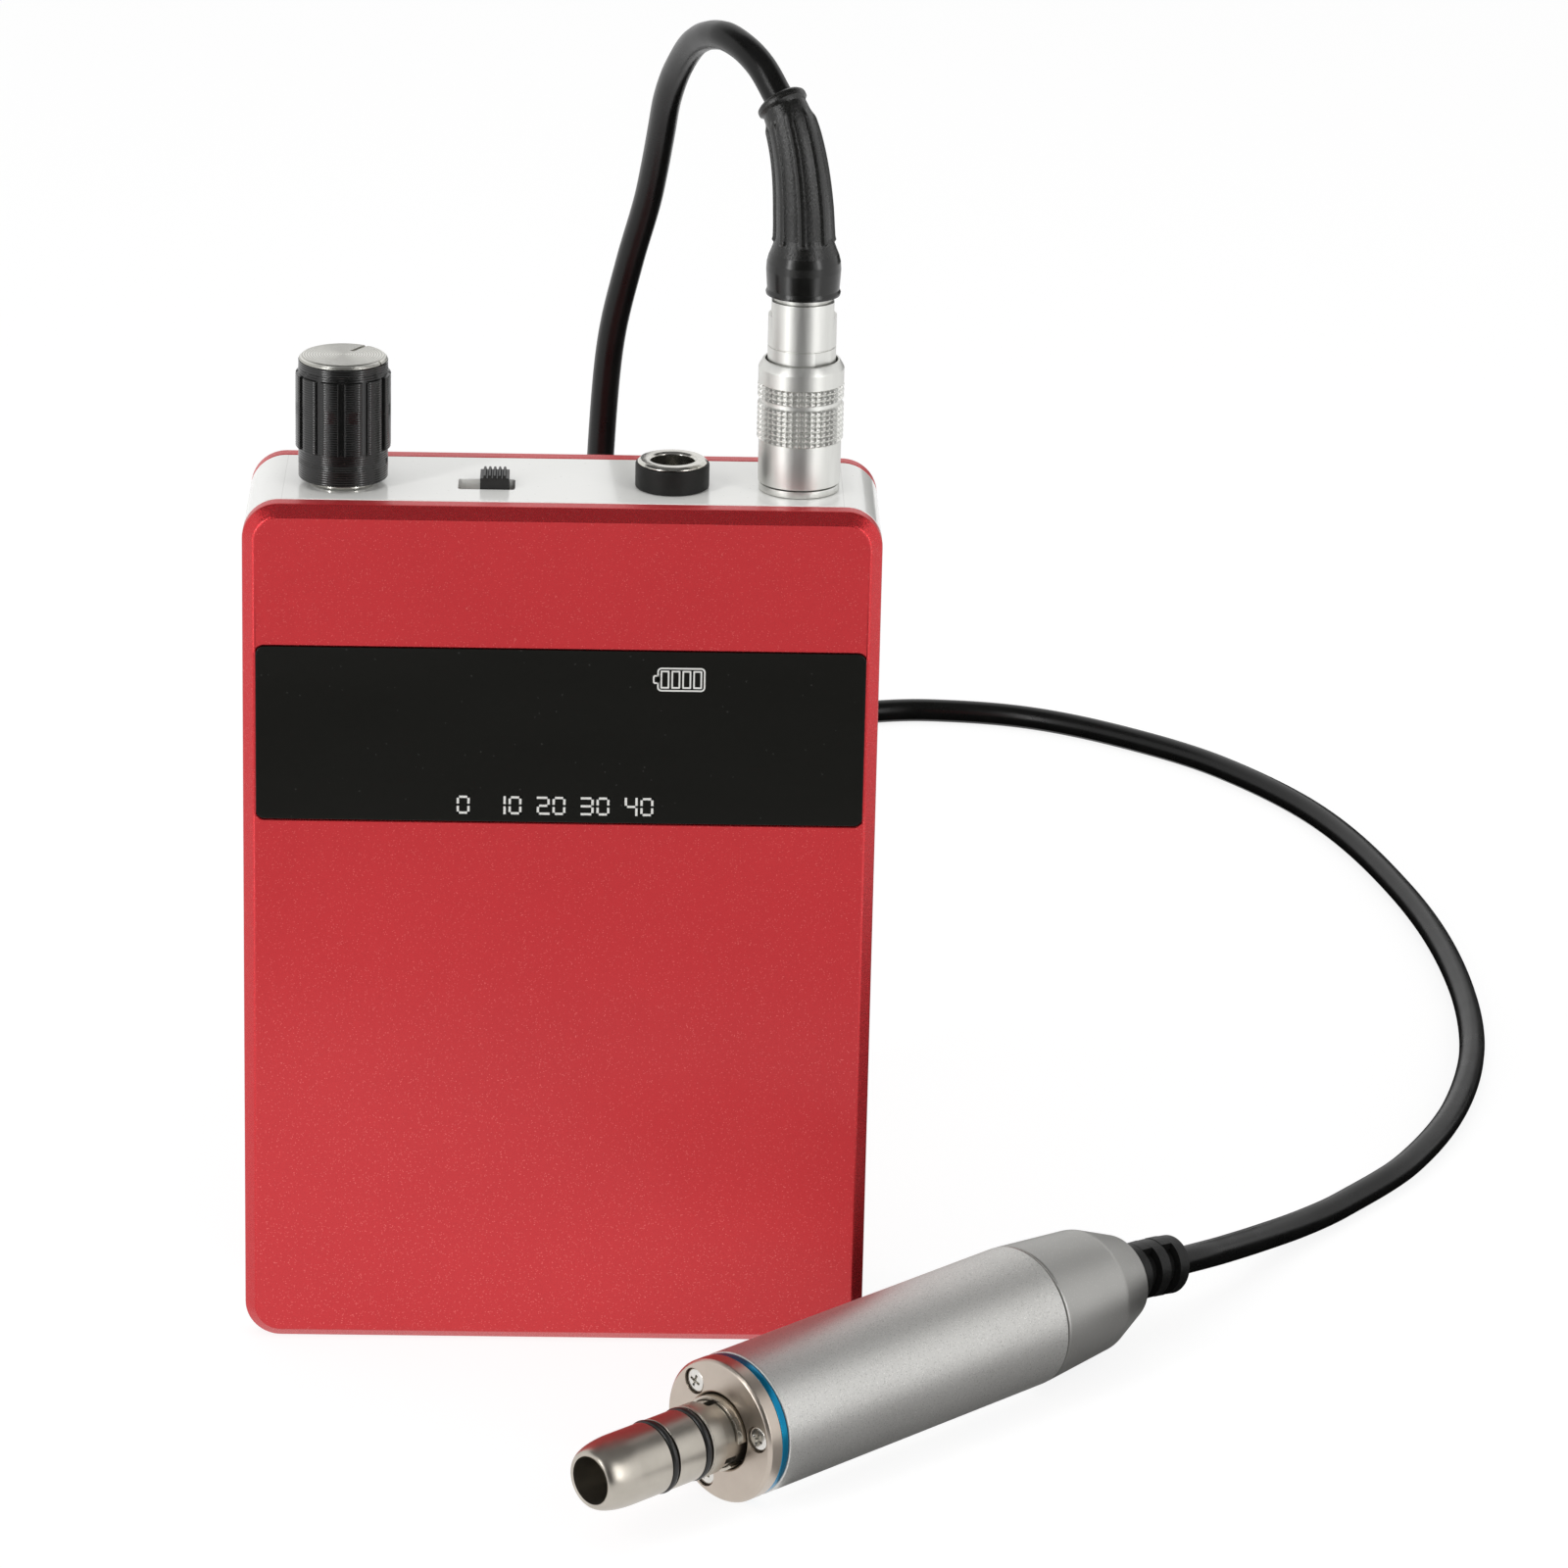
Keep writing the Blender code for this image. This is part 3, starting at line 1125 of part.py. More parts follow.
def handpiece_barrel(axis):
    """Barrel with an inner land near its front, threaded for the flange's screws."""
    start = ring_end() + RING_GAP
    inner = BARREL_RADIUS - BARREL_WALL
    edge = BARREL_RADIUS - BARREL_EDGE
    bore = flange_bore()
    land_start = spigot_end() + FIT_GAP
    land_end = land_start + LAND_LENGTH
    profile = (
        (inner, BARREL_END), (edge, BARREL_END), (BARREL_RADIUS, BARREL_END - BARREL_EDGE),
        (BARREL_RADIUS, start + BARREL_EDGE), (edge, start), (inner, start),
        (inner, land_start), (bore, land_start), (bore, land_end), (inner, land_end),
    )
    silver = finish("blasted_silver", (0.6, 0.6, 0.59), 0.35, 1)
    barrel = turned("handpiece_barrel", profile, silver, parent=axis, ring=True, steps=BARREL_STEPS)
    threads = clamp_spans(land_start - CUT_OVERRUN, land_end + CUT_OVERRUN)
    cut(barrel, "clamp_threads", rod_mesh("clamp_threads", clamp_shank_radius() + FIT_GAP, threads))


def flange_screws(axis):
    """Pan-head screws through the flange into the barrel's land."""
    head_low = CLAMP_SINK - SEAT_GAP
    head_top = head_low - CLAMP_HEAD_HEIGHT
    foot = head_low + CLAMP_SHANK_LENGTH
    shank, head = clamp_shank_radius(), clamp_head_radius()
    profile = (
        (0, foot), (shank, foot), (shank, head_low), (head, head_low),
        (head, head_top + CLAMP_HEAD_BEVEL), (head - CLAMP_HEAD_BEVEL, head_top), (0, head_top),
    )
    bright = finish("bright_screw_steel", (0.7, 0.69, 0.67), 0.2, 1)
    for number, angle in enumerate(clamp_turns(), 1):
        name = f"flange_screw_{number}"
        turned(name, profile, bright, clamp_place(angle), axis, steps=SMALL_TURN_STEPS)


def tail_end():
    return BARREL_END + TAIL_LENGTH


def tail_cap(axis):
    """Tapered tail, its spigot in the barrel's rear end and the cord's outlet in its own."""
    tail_start = BARREL_END + TAIL_SEAM
    spigot = spigot_radius()
    spigot_low = tail_start - TAIL_SPIGOT_LENGTH
    core = spigot - TAIL_WALL
    outlet = OUTLET_RADIUS + FIT_GAP
    core_end = tail_start + TAIL_CORE_START
    wide = BARREL_RADIUS - TAIL_STEP
    narrow = outlet + TAIL_END_WALL
    edge = narrow + TAIL_EDGE_SHARE * (wide - narrow)
    profile = (
        (outlet, tail_end()), (narrow, tail_end()), (edge, BARREL_END + TAIL_EDGE),
        (wide, tail_start), (spigot, tail_start), (spigot, spigot_low), (core, spigot_low),
        (core, core_end), (outlet, core_end + TAIL_CORE_TAPER),
    )
    grey = finish("tail_blasted_grey", (0.42, 0.42, 0.41), 0.4, 1)
    turned("tail_cap", profile, grey, parent=axis, ring=True, steps=BARREL_STEPS)


def groove_floor():
    return NOSE_RADIUS + O_RING_PROUD - 2 * O_RING_WIRE - SEAT_GAP


def nose_tube(axis):
    """Coupling nose for the attachments, which carries the front bearing in its rear end."""
    steel = finish("nose_steel", (0.6, 0.57, 0.54), 0.25, 1)
    bearing_seat = NOSE_BASE_RADIUS - BEARING_SEAT_WALL
    rear = FRONT_BEARING_START + BEARING_WIDTH + 2 * FIT_GAP
    seat_floor = FRONT_BEARING_START - FIT_GAP
    profile = [
        (bearing_seat, rear), (NOSE_BASE_RADIUS, rear), (NOSE_BASE_RADIUS, NOSE_BASE_START),
        (NOSE_RECESS_RADIUS, NOSE_BASE_START), (NOSE_RECESS_RADIUS, NOSE_RECESS_START),
        (NOSE_COLLAR_RADIUS, NOSE_RECESS_START), (NOSE_COLLAR_RADIUS, NOSE_COLLAR_START),
        (NOSE_RADIUS, NOSE_COLLAR_START),
    ]
    for middle in (REAR_RING_PLACE, FRONT_RING_PLACE):
        high, low = middle + RING_GROOVE_HALF, middle - RING_GROOVE_HALF
        profile += [(NOSE_RADIUS, high), (groove_floor(), high), (groove_floor(), low), (NOSE_RADIUS, low)]
    profile += [
        (NOSE_RADIUS, NOSE_TAPER_END), (NOSE_LEAD_RADIUS, NOSE_LEAD_END), (NOSE_TIP_RADIUS, NOSE_TIP),
        (NOSE_BORE_RADIUS, NOSE_TIP), (NOSE_BORE_RADIUS, seat_floor), (bearing_seat, seat_floor),
    ]
    tube = turned("nose_tube", profile, steel, parent=axis, ring=True)
    bm = bmesh.new()
    reach = NOSE_COLLAR_RADIUS
    middle = Matrix.Translation((-reach / 2, 0, (WINDOW_SLOT_START + WINDOW_SLOT_END) / 2))
    size = Matrix.Diagonal((reach, WINDOW_SLOT_WIDTH, WINDOW_SLOT_END - WINDOW_SLOT_START, 1))
    for index in range(WINDOW_SLOTS):
        turn = Matrix.Rotation(2 * math.pi * index / WINDOW_SLOTS, 4, "Z")
        bmesh.ops.create_cube(bm, size=1, matrix=turn @ middle @ size)
    cut(tube, "latch_windows", mesh_of(bm, "latch_windows"))


def o_rings(axis):
    """Two O-rings in the nose's grooves, standing a little proud of it."""
    rubber = finish("ring_rubber", (0.01, 0.01, 0.01), 0.45)
    middle_radius = NOSE_RADIUS + O_RING_PROUD - O_RING_WIRE
    for name, height in (("o_ring_front", FRONT_RING_PLACE), ("o_ring_rear", REAR_RING_PLACE)):
        bpy.ops.mesh.primitive_torus_add(
            major_radius=middle_radius, minor_radius=O_RING_WIRE, major_segments=TURN_STEPS,
            minor_segments=O_RING_SIDES,
        )
        ring = bpy.context.object
        ring.name = name
        ring.location = (0, 0, height)
        ring.parent = axis
        ring.data.materials.append(rubber)
        smooth(ring.data)
        ring.users_collection[0].objects.unlink(ring)
        PIECES.objects.link(ring)


def latch_clip(axis):
    """Open spring ring in the nose's recess, which holds an attachment on."""
    inside = NOSE_RECESS_RADIUS + FIT_GAP
    outside = inside + CLIP_WALL
    profile = ((inside, CLIP_END), (outside, CLIP_END), (outside, CLIP_START), (inside, CLIP_START))
    dark = finish("latch_spring_steel", (0.3, 0.29, 0.28), 0.35, 1)
    clip = turned("latch_clip", profile, dark, parent=axis, ring=True)
    bm = bmesh.new()
    turn = Matrix.Rotation(CLIP_MOUTH_TURN, 4, "Z")
    middle = Matrix.Translation((-outside, 0, (CLIP_START + CLIP_END) / 2))
    size = Matrix.Diagonal((2 * outside, CLIP_MOUTH, CLIP_END - CLIP_START + CUT_OVERRUN, 1))
    bmesh.ops.create_cube(bm, size=1, matrix=turn @ middle @ size)
    cut(clip, "latch_mouth", mesh_of(bm, "latch_mouth"))


def collar(name, bore, radius, low, high, material, axis, steps=HIDDEN_STEPS):
    """A plain ring on the handpiece's axis."""
    profile = ((bore, high), (radius, high), (radius, low), (bore, low))
    turned(name, profile, material, parent=axis, ring=True, steps=steps)


def axle_bore():
    return AXLE_RADIUS + FIT_GAP


def rear_bearing_span():
    low = STATOR_END + FIT_GAP + END_CAP_WEB + FIT_GAP
    return low, low + BEARING_WIDTH


def motor_windings(axis):
    """Fixed winding in the barrel, and the magnet that turns inside it."""
    copper = finish("winding_copper", (0.5, 0.2, 0.08), 0.4, 0.8)
    black = finish("magnet_black", (0.06, 0.06, 0.065), 0.3, 1)
    collar("motor_stator", STATOR_BORE_RADIUS, spigot_radius(), STATOR_START, STATOR_END, copper, axis)
    low, high = STATOR_START + MAGNET_INSET, STATOR_END - MAGNET_INSET
    collar("rotor_magnet", axle_bore(), STATOR_BORE_RADIUS - FIT_GAP, low, high, black, axis)


def motor_bearings(axis):
    """One bearing in the nose's rear end, one in the motor's end cap."""
    steel = finish("bearing_steel", (0.65, 0.65, 0.66), 0.2, 1)
    seat = NOSE_BASE_RADIUS - BEARING_SEAT_WALL - FIT_GAP
    low, high = FRONT_BEARING_START, FRONT_BEARING_START + BEARING_WIDTH
    collar("front_bearing", axle_bore(), seat, low, high, steel, axis, SMALL_TURN_STEPS)
    low, high = rear_bearing_span()
    collar("rear_bearing", axle_bore(), REAR_BEARING_RADIUS, low, high, steel, axis, SMALL_TURN_STEPS)


def motor_end_cap(axis):
    """Brass cap that holds the rear bearing, with the sensor board behind it."""
    inner = spigot_radius()
    start = STATOR_END + FIT_GAP
    web_end = start + END_CAP_WEB
    end = rear_bearing_span()[1] + FIT_GAP
    bore = REAR_BEARING_RADIUS + FIT_GAP
    profile = (
        (bore, end), (inner, end), (inner, start), (axle_bore(), start), (axle_bore(), web_end),
        (bore, web_end),
    )
    brass = finish("end_cap_brass", (0.6, 0.45, 0.2), 0.35, 1)
    turned("motor_end_cap", profile, brass, parent=axis, ring=True, steps=HIDDEN_STEPS)
    low = end + SENSOR_GAP
    green = finish("sensor_board_green", (0.03, 0.2, 0.08), 0.5)
    collar("sensor_board", SENSOR_HOLE_RADIUS, inner, low, low + SENSOR_THICKNESS, green, axis)


def motor_shaft(axis):
    """The rotor's axle, from the rear bearing into the dog, with a collar for the dog's spring."""
    rear = rear_bearing_span()[1] - FIT_GAP
    front = DOG_FRONT + DOG_WEB + DOG_TRAVEL + FIT_GAP
    profile = (
        (0, rear), (AXLE_RADIUS, rear), (AXLE_RADIUS, AXLE_COLLAR_HALF),
        (AXLE_COLLAR_RADIUS, AXLE_COLLAR_HALF), (AXLE_COLLAR_RADIUS, -AXLE_COLLAR_HALF),
        (AXLE_RADIUS, -AXLE_COLLAR_HALF), (AXLE_RADIUS, front), (0, front),
    )
    steel = finish("axle_steel", (0.65, 0.65, 0.66), 0.2, 1)
    turned("motor_shaft", profile, steel, parent=axis, steps=SMALL_TURN_STEPS)


def drive_dog(axis):
    """Sprung two-toothed dog on the axle's front end, which takes up an attachment's drive."""
    steel = finish("dog_steel", (0.5, 0.5, 0.5), 0.3, 1)
    bore = axle_bore()
    outer = bore + DOG_WALL
    profile = (
        (0, DOG_FRONT + DOG_WEB), (bore, DOG_FRONT + DOG_WEB), (bore, DOG_REAR), (outer, DOG_REAR),
        (outer, DOG_FRONT), (0, DOG_FRONT),
    )
    dog = turned("drive_dog", profile, steel, parent=axis, steps=SMALL_TURN_STEPS)
    teeth = []
    far = outer - DOG_TOOTH_INSET
    near = far - DOG_TOOTH_DEPTH
    for low, high in ((-far, -near), (near, far)):
        teeth.append((
            (low, -DOG_TOOTH_WIDTH / 2, DOG_FRONT - DOG_TOOTH_LENGTH),
            (high, DOG_TOOTH_WIDTH / 2, DOG_FRONT + DOG_WEB / 2),
        ))
    join(dog, "dog_teeth", block_mesh("dog_teeth", teeth))
    low = DOG_REAR + SEAT_GAP
    high = -AXLE_COLLAR_HALF - SEAT_GAP
    radius = (bore + AXLE_COLLAR_RADIUS) / 2
    wire = finish("dog_spring_steel", (0.6, 0.6, 0.6), 0.3, 1)
    coil("dog_spring", radius, DOG_SPRING_WIRE, low, high, SPRING_TURNS, wire, parent=axis)


def cord_outlet(axis):
    """Slotted rubber bend protector in the tail, drooping a little under the cord."""
    bend_start = tail_end() - OUTLET_BEND_SUNK
    collar_end = tail_end() + OUTLET_COLLAR_LENGTH
    rows = [(tail_end() - OUTLET_SUNK, False), (bend_start, False), (collar_end, False)]
    for index in range(OUTLET_SLOTS):
        low = collar_end + index * (OUTLET_SLOT_LENGTH + OUTLET_BAND_LENGTH)
        high = low + OUTLET_SLOT_LENGTH
        rows += [(low, True), (high, True), (high, False), (high + OUTLET_BAND_LENGTH, False)]
    reach = rows[-1][0] - bend_start
    rings = []
    for height, slotted in rows:
        along = max(height - bend_start, 0) / reach
        droop = OUTLET_DROOP * along**2
        ring = []
        for step in range(OUTLET_SIDES):
            angle = 2 * math.pi * step / OUTLET_SIDES
            off_rib = min(abs(math.remainder(angle, math.pi)), math.pi / 2)
            radius = OUTLET_CORE_RADIUS if slotted and off_rib > OUTLET_RIB_HALF_ANGLE else OUTLET_RADIUS
            lean = 2 * OUTLET_DROOP * along / reach * radius * math.cos(angle)
            ring.append((radius * math.cos(angle) + droop, radius * math.sin(angle), height - lean))
        rings.append(ring)
    loft("cord_grommet", rings, finish("outlet_rubber", (0.012, 0.012, 0.012), 0.55), parent=axis)


def main():
    front_cover()
    rear_cover()
    centre_frame()
    cover_screws()
    battery_cells()
    main_board()
    display_window()
    display_module()
    potentiometer()
    knob_shell()
    knob_core()
    switch_body()
    switch_lever()
    charging_socket()
    nickel = finish("satin_nickel", (0.62, 0.61, 0.58), 0.3, 1)
    dark = finish("contact_insert", (0.03, 0.03, 0.035), 0.5)
    cord_socket(nickel, dark)
    cord_plug(nickel, dark)
    plug_lock(nickel)
    plug_boot()
    handpiece_cord()
    axis = handpiece_axis()
    pieces = (
        front_flange, blue_ring, handpiece_barrel, flange_screws, tail_cap, nose_tube, o_rings,
        latch_clip, motor_windings, motor_bearings, motor_end_cap, motor_shaft, drive_dog, cord_outlet,
    )
    for piece in pieces:
        piece(axis)


for leftover in list(bpy.data.objects):
    bpy.data.objects.remove(leftover)
PIECES = collection("dental_lab_micromotor")
CUTTERS = collection("cutters")
main()
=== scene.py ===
"""Looks of a dental lab micromotor: a cordless control box, its plug, cord and handpiece."""

import math

import bmesh
import bpy
from mathutils import Matrix, Vector
from mathutils.geometry import interpolate_bezier


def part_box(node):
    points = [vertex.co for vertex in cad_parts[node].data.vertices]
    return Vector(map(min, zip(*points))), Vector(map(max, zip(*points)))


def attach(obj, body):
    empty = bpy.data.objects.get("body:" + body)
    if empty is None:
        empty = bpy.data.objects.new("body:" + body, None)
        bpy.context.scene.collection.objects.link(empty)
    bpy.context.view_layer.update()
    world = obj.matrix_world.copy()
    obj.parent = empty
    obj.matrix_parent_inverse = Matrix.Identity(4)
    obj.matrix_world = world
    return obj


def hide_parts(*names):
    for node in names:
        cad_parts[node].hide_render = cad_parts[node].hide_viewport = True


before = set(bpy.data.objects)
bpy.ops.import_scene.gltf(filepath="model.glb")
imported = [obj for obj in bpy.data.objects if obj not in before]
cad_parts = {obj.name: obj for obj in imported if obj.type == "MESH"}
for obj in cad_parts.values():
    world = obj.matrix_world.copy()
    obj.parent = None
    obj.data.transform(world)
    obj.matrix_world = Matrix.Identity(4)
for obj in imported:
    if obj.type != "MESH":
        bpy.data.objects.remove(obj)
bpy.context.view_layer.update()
stage = bpy.context.scene
MM = 0.001


# Camera. A long lens at arm's height looks down on the front of the box, turned a little
# to the right, as the photograph was taken.


def at(*place):
    """The matrix that moves a form to a place."""
    return Matrix.Translation(place)


def spun(degrees, letter="Z"):
    """The matrix that turns a form about one of the axes."""
    return Matrix.Rotation(math.radians(degrees), 4, letter)


camera_place = Vector((6.22, -893.66, 392.96)) * MM
camera_yaw, camera_pitch, camera_roll = 1.587, 19.378, 1.309
camera_data = bpy.data.cameras.new("long_lens")
camera_data.sensor_width = 36
camera_data.lens = 156.89
camera = bpy.data.objects.new("camera", camera_data)
camera.matrix_world = (
    at(*camera_place) @ spun(-camera_yaw) @ spun(90 - camera_pitch, "X") @ spun(camera_roll)
)
stage.collection.objects.link(camera)
stage.camera = camera


# Handpiece cord. A round 4 mm cord with a smooth black jacket, moulded into the plug's boot
# at one end and held in the handpiece's outlet at the other. It rises from the boot, falls
# behind the box and lies on the table in one wide bend.


class Value:
    """One socket of a node tree; sums and comparisons on it add their Math nodes."""

    def __init__(self, nodes, socket):
        self.nodes = nodes
        self.socket = socket

    def math(self, operation, *others, swapped=False):
        node = self.nodes.tree.nodes.new("ShaderNodeMath")
        node.operation = operation
        terms = [self, *others]
        if swapped:
            terms.reverse()
        for socket, term in zip(node.inputs, terms):
            self.nodes.feed(socket, term)
        return Value(self.nodes, node.outputs[0])

    def part(self, output):
        """Another output of the same node."""
        return Value(self.nodes, self.socket.node.outputs[output])

    def __add__(self, other):
        return self.math("ADD", other)

    def __sub__(self, other):
        return self.math("SUBTRACT", other)

    def __rsub__(self, other):
        return self.math("SUBTRACT", other, swapped=True)

    def __mul__(self, other):
        return self.math("MULTIPLY", other)

    def __truediv__(self, other):
        return self.math("DIVIDE", other)

    def __gt__(self, other):
        return self.math("GREATER_THAN", other)

    def __lt__(self, other):
        return self.math("LESS_THAN", other)

    __radd__ = __add__
    __rmul__ = __mul__


class Nodes:
    """A node tree and the one method that adds any other node to it."""

    def __init__(self, tree):
        self.tree = tree
        tree.nodes.clear()

    def feed(self, socket, value):
        if isinstance(value, list):
            for item in value:
                self.feed(socket, item)
        elif isinstance(value, Value):
            self.tree.links.new(value.socket, socket)
        else:
            socket.default_value = value

    def add(self, kind, settings=None, sockets=None, output=0):
        node = self.tree.nodes.new(kind)
        for name, setting in (settings or {}).items():
            setattr(node, name, setting)
        for name, value in (sockets or {}).items():
            self.feed(node.inputs[name], value)
        return Value(self, node.outputs[output]) if len(node.outputs) else None


def colour(red, green, blue):
    """A colour read off a screen, 0 to 255, as the linear values that a shader takes."""
    levels = [level / 255 for level in (red, green, blue)]
    linear = [c / 12.92 if c <= 0.04045 else ((c + 0.055) / 1.055) ** 2.4 for c in levels]
    return (*linear, 1)


class Finish(Nodes):
    """A finish: a Principled shader whose patterns are read on the piece's own coordinates."""

    def __init__(self, name, **fixed):
        self.material = bpy.data.materials.new(name)
        self.material.use_nodes = True
        super().__init__(self.material.node_tree)
        self.place = self.add("ShaderNodeTexCoord", output="Object")
        self.shader = self.add("ShaderNodeBsdfPrincipled")
        self.add("ShaderNodeOutputMaterial", {}, {"Surface": self.shader})
        self.shade(**fixed)

    def shade(self, **levels):
        """Sets or links the shader's sockets, named in small letters."""
        for name, value in levels.items():
            title = name.replace("_", " ").title().replace("Ior", "IOR")
            self.feed(self.shader.socket.node.inputs[title], value)

    def along(self, letter):
        """The distance in metres along one of the piece's axes."""
        return self.add("ShaderNodeSeparateXYZ", {}, {"Vector": self.place}).part(letter)

    def noise(self, scale, detail=2.0, stretch=(1, 1, 1), rough=0.5):
        """Soft random values round a half; scale is in grains per metre."""
        spot = self.add("ShaderNodeMapping", {}, {"Vector": self.place, "Scale": stretch})
        sockets = {"Vector": spot, "Scale": scale, "Detail": detail, "Roughness": rough}
        return self.add("ShaderNodeTexNoise", {}, sockets)

    def specks(self, scale, share):
        """One on a share of small random cells, nought on the others."""
        sockets = {"Vector": self.place, "Scale": scale}
        cell = self.add("ShaderNodeTexVoronoi", {}, sockets, "Color")
        level = self.add("ShaderNodeSeparateColor", {}, {"Color": cell})
        return level > 1 - share

    def ramp(self, value, low, high):
        """Nought at the low value, one at the high one, and straight between."""
        sockets = {"Value": value, "From Min": low, "From Max": high}
        return self.add("ShaderNodeMapRange", {}, sockets)

    def mix(self, share, first, second):
        sockets = {0: share, 6: first, 7: second}
        return self.add("ShaderNodeMix", {"data_type": "RGBA"}, sockets, 2)

    def bump(self, height, distance):
        """A normal from a height of nought to one, which stands for the distance in metres."""
        return self.add("ShaderNodeBump", {}, {"Height": height, "Distance": distance})


def mottled(name, grain, low, high, rough, bump=None, place=None, **fixed):
    """A finish whose colour and roughness drift together on one soft noise.

    The grain is the noise's scale and detail, and how it is stretched. Rough is a level and
    what the noise adds. The bump is a height in metres, then a grain if it has its own.
    """
    made = Finish(name, **fixed)
    if place:
        made.place = place(made)
    drift = made.noise(*grain)
    level, spread = rough
    tone = made.mix(drift, colour(*low), colour(*high))
    made.shade(base_color=tone, roughness=level + spread * drift)
    if bump:
        height, *own_grain = bump
        made.shade(normal=made.bump(made.noise(*own_grain) if own_grain else drift, height))
    return made


cord_radius, cord_length = 0.002, 0.705
cord_route = (
    (0.0283, 0.0018, 0.1754), (0.0259, 0.0047, 0.1790), (0.0234, 0.0082, 0.1809),
    (0.0206, 0.0131, 0.1813), (0.0174, 0.0222, 0.1784), (0.0151, 0.0308, 0.1728),
    (0.0136, 0.0371, 0.1668), (0.0128, 0.0422, 0.1605), (0.0120, 0.0463, 0.1544),
    (0.0110, 0.0498, 0.1483), (0.0087, 0.0547, 0.1384), (0.0063, 0.0597, 0.1262),
    (0.0052, 0.0642, 0.1131), (0.0044, 0.0711, 0.0917), (0.0040, 0.0820, 0.0637),
    (0.0039, 0.0967, 0.0394), (0.0037, 0.1142, 0.0217), (0.0037, 0.1328, 0.0104),
    (0.0040, 0.1525, 0.0041), (0.0050, 0.1746, 0.0020), (0.0101, 0.2067, 0.0020),
    (0.0228, 0.2347, 0.0020), (0.0386, 0.2502, 0.0020), (0.0523, 0.2564, 0.0020),
    (0.0640, 0.2581, 0.0020), (0.0812, 0.2547, 0.0020), (0.0977, 0.2446, 0.0020),
    (0.1134, 0.2294, 0.0020), (0.1283, 0.2040, 0.0020), (0.1383, 0.1692, 0.0020),
    (0.1429, 0.1357, 0.0020), (0.1426, 0.1015, 0.0020), (0.1370, 0.0736, 0.0020),
    (0.1272, 0.0503, 0.0020), (0.1153, 0.0334, 0.0021), (0.1089, 0.0253, 0.0027),
    (0.1023, 0.0164, 0.0042), (0.0959, 0.0067, 0.0064), (0.0919, 0.0007, 0.0079),
    (0.0870, -0.0048, 0.0090),
)
cord_steps = 12
boot_hold, outlet_hold = 0.002, 0.0013


def smooth_path(route, steps):
    """Points on a smooth curve through the route, a number of steps from each to the next."""
    spots = [Vector(point) for point in route]
    spots = [2 * spots[0] - spots[1], *spots, 2 * spots[-1] - spots[-2]]
    points = []
    for before, first, second, after in zip(spots, spots[1:], spots[2:], spots[3:]):
        reach = (second - first).length / 3
        leave = first + (second - before).normalized() * reach
        arrive = second - (after - first).normalized() * reach
        points += interpolate_bezier(first, leave, arrive, second, steps + 1)[:-1]
    return [*points, spots[-2]]


cord_points = smooth_path(cord_route, cord_steps)
plug_end = (cord_points[1] - cord_points[0]).normalized()
outlet_end = (cord_points[-1] - cord_points[-2]).normalized()
cord_points.insert(0, cord_points[0] - plug_end * boot_hold)
cord_points.append(cord_points[-1] + outlet_end * outlet_hold)
cord_curve = bpy.data.curves.new("handpiece_lead", "CURVE")
cord_curve.dimensions = "3D"
cord_curve.bevel_depth = cord_radius
cord_curve.bevel_resolution = 6
cord_curve.use_fill_caps = True
spline = cord_curve.splines.new("POLY")
spline.points.add(len(cord_points) - 1)
for point, spot in zip(spline.points, cord_points):
    point.co = (spot.x, spot.y, max(spot.z, cord_radius), 1)
cord = bpy.data.objects.new("handpiece_lead", cord_curve)
stage.collection.objects.link(cord)
jacket = mottled(
    "cord_jacket_black", (220, 2), (8, 8, 8), (15, 15, 14), (0.22, 0.14), (0.00001, 6000, 3),
    specular_ior_level=0.25,
)
cord_curve.materials.append(jacket.material)
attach(cord, "root")
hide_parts("handpiece_cord")


# Table, backdrop and lamps. White paper under and behind the part, two tall strip lamps
# in front at either side, a soft lamp above, and cards that only reflections see. All
# lengths of the studio are in metres.
white = (1, 1, 1, 1)
table_size = 3.0
open_sky = 0.5
paper_white, paper_glow, glow_share = (0.86, 0.86, 0.86, 1), 1.12, 0.76


def to_mesh(bm, name):
    data = bpy.data.meshes.new(name)
    bm.to_mesh(data)
    bm.free()
    return data


def add_mesh(name, data, material=None):
    obj = bpy.data.objects.new(name, data)
    stage.collection.objects.link(obj)
    if material:
        data.materials.append(material)
    return obj


def card(name, width, height, place, material):
    """A flat card facing along +Z before it is turned."""
    bm = bmesh.new()
    size = Matrix.Diagonal((width, height, 1, 1))
    bmesh.ops.create_grid(bm, x_segments=1, y_segments=1, size=0.5, matrix=place @ size)
    made = add_mesh(name, to_mesh(bm, name), material)
    return made


def shining(nodes):
    """One for the rays that show the background itself: the camera's, and those off gloss."""
    path = nodes.add("ShaderNodeLightPath", output="Is Camera Ray")
    seen = path + path.part("Is Glossy Ray") + path.part("Is Transmission Ray")
    return seen.math("MINIMUM", 1)


world = bpy.data.worlds.new("white_studio")
world.use_nodes = True
stage.world = world
sky = Nodes(world.node_tree)
strength = open_sky + (1 - open_sky) * shining(sky)
light = sky.add("ShaderNodeBackground", {}, {"Color": white, "Strength": strength})
sky.add("ShaderNodeOutputWorld", {}, {"Surface": light})

paper = bpy.data.materials.new("white_paper")
paper.use_nodes = True
sheet = Nodes(paper.node_tree)
matt = sheet.add("ShaderNodeBsdfDiffuse", {}, {"Color": paper_white})
glow = sheet.add("ShaderNodeEmission", {}, {"Color": white, "Strength": paper_glow})
both = sheet.add("ShaderNodeMixShader", {}, {0: glow_share * shining(sheet), 1: matt, 2: glow})
sheet.add("ShaderNodeOutputMaterial", {}, {"Surface": both})
card("table", table_size, table_size, at(0, 0, 0), paper)


